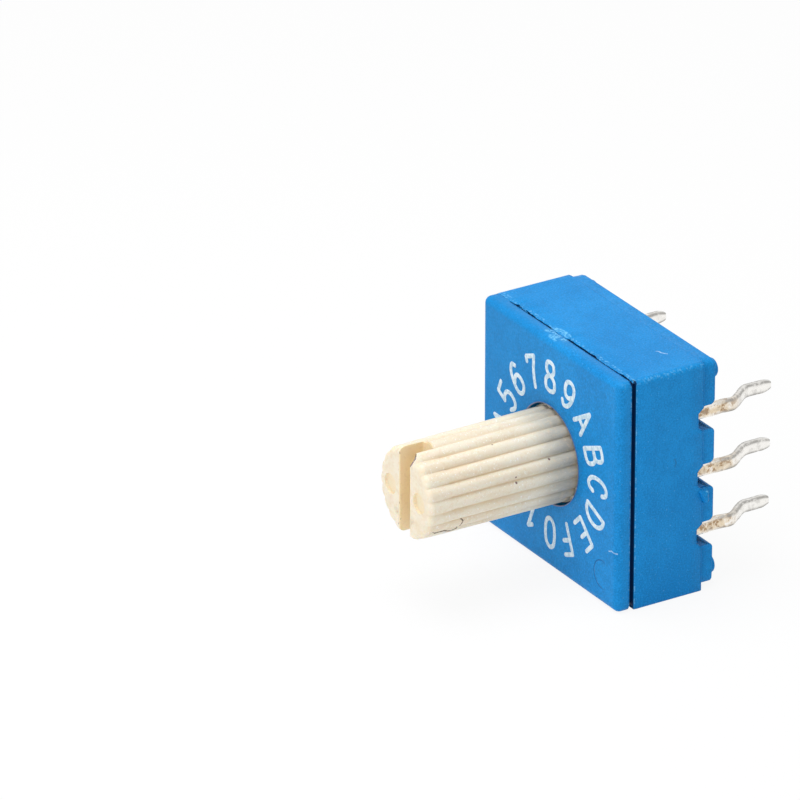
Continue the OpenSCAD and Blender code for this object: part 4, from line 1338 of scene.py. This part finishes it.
def makeStage():
    # a pale floor that shows white to the camera but keeps a soft shadow
    size = stage["floorSize"]
    mesh = bpy.data.meshes.new("floor")
    level = cadLow[2]
    corners = [(-size, -size), (size, -size), (size, size), (-size, size)]
    mesh.from_pydata([(x, y, level) for x, y in corners], [], [(0, 1, 2, 3)])
    material = bpy.data.materials.new("floorPaper")
    material.use_nodes = True
    tree = material.node_tree
    tree.nodes.clear()
    out = addNode(tree, "ShaderNodeOutputMaterial")
    paper = addNode(tree, "ShaderNodeBsdfDiffuse", {"Color": stage["floorColour"]})
    glow = addNode(tree, "ShaderNodeEmission", {"Color": rgb(1, 1, 1), "Strength": 1.0})
    mix = addNode(tree, "ShaderNodeMixShader", {0: times(tree, seenDirectly(tree), stage["glow"]),
                                                1: paper.outputs[0], 2: glow.outputs[0]})
    tree.links.new(mix.outputs[0], out.inputs["Surface"])
    mesh.materials.append(material)
    floor = bpy.data.objects.new("floor", mesh)
    bpy.context.scene.collection.objects.link(floor)
    world = bpy.data.worlds.new("studio")
    world.use_nodes = True
    bpy.context.scene.world = world
    tree = world.node_tree
    back = tree.nodes["Background"]
    tree.links.new(ramp(tree, seenDirectly(tree), 0.0, 1.0, stage["sky"], 1.0), back.inputs["Strength"])
    back.inputs["Color"].default_value = rgb(1, 1, 1)


lamps = {   # place and aim in millimetres, size in millimetres, power in watts
    "overhead": {"at": (-10, -20, 90), "aim": (0, -2, 0), "size": 70, "power": 0.055},
    "front": {"at": (40, -105, 40), "aim": (0, -2, 0), "size": 70, "power": 0.02},
    "low": {"at": (25, -80, 4), "aim": (0, -4, -3), "size": 50, "power": 0.005},
}


def putFacing(item, place, back):
    # stands a lamp or camera at a place in millimetres with its back turned to a direction
    item.location = place * mm
    item.rotation_mode = "QUATERNION"
    item.rotation_quaternion = back.to_track_quat("Z", "Y")
    bpy.context.scene.collection.objects.link(item)


def makeLamps():
    for name, lamp in lamps.items():
        light = bpy.data.lights.new(name, "AREA")
        light.shape = "DISK"
        light.size = lamp["size"] * mm
        light.energy = lamp["power"]
        at = Vector(lamp["at"])
        putFacing(bpy.data.objects.new(name, light), at, at - Vector(lamp["aim"]))


viewFrom = {"azimuth": 58.318, "elevation": 25.477, "distance": 350.70, "target": (-11.257, -4.90, -2.182),
            "lens": 386.99}


def makeCamera():
    data = bpy.data.cameras.new("camera")
    data.lens = viewFrom["lens"]
    data.sensor_width = 36
    data.clip_start, data.clip_end = 0.01, 5
    camera = bpy.data.objects.new("camera", data)
    azimuth, elevation = math.radians(viewFrom["azimuth"]), math.radians(viewFrom["elevation"])
    level = math.cos(elevation)
    back = Vector((math.sin(azimuth) * level, -math.cos(azimuth) * level, math.sin(elevation)))
    putFacing(camera, Vector(viewFrom["target"]) + back * viewFrom["distance"], back)
    bpy.context.scene.camera = camera


makeStage()
makeLamps()
makeCamera()
bpy.context.scene.view_settings.view_transform = "Standard"
print("stage set")
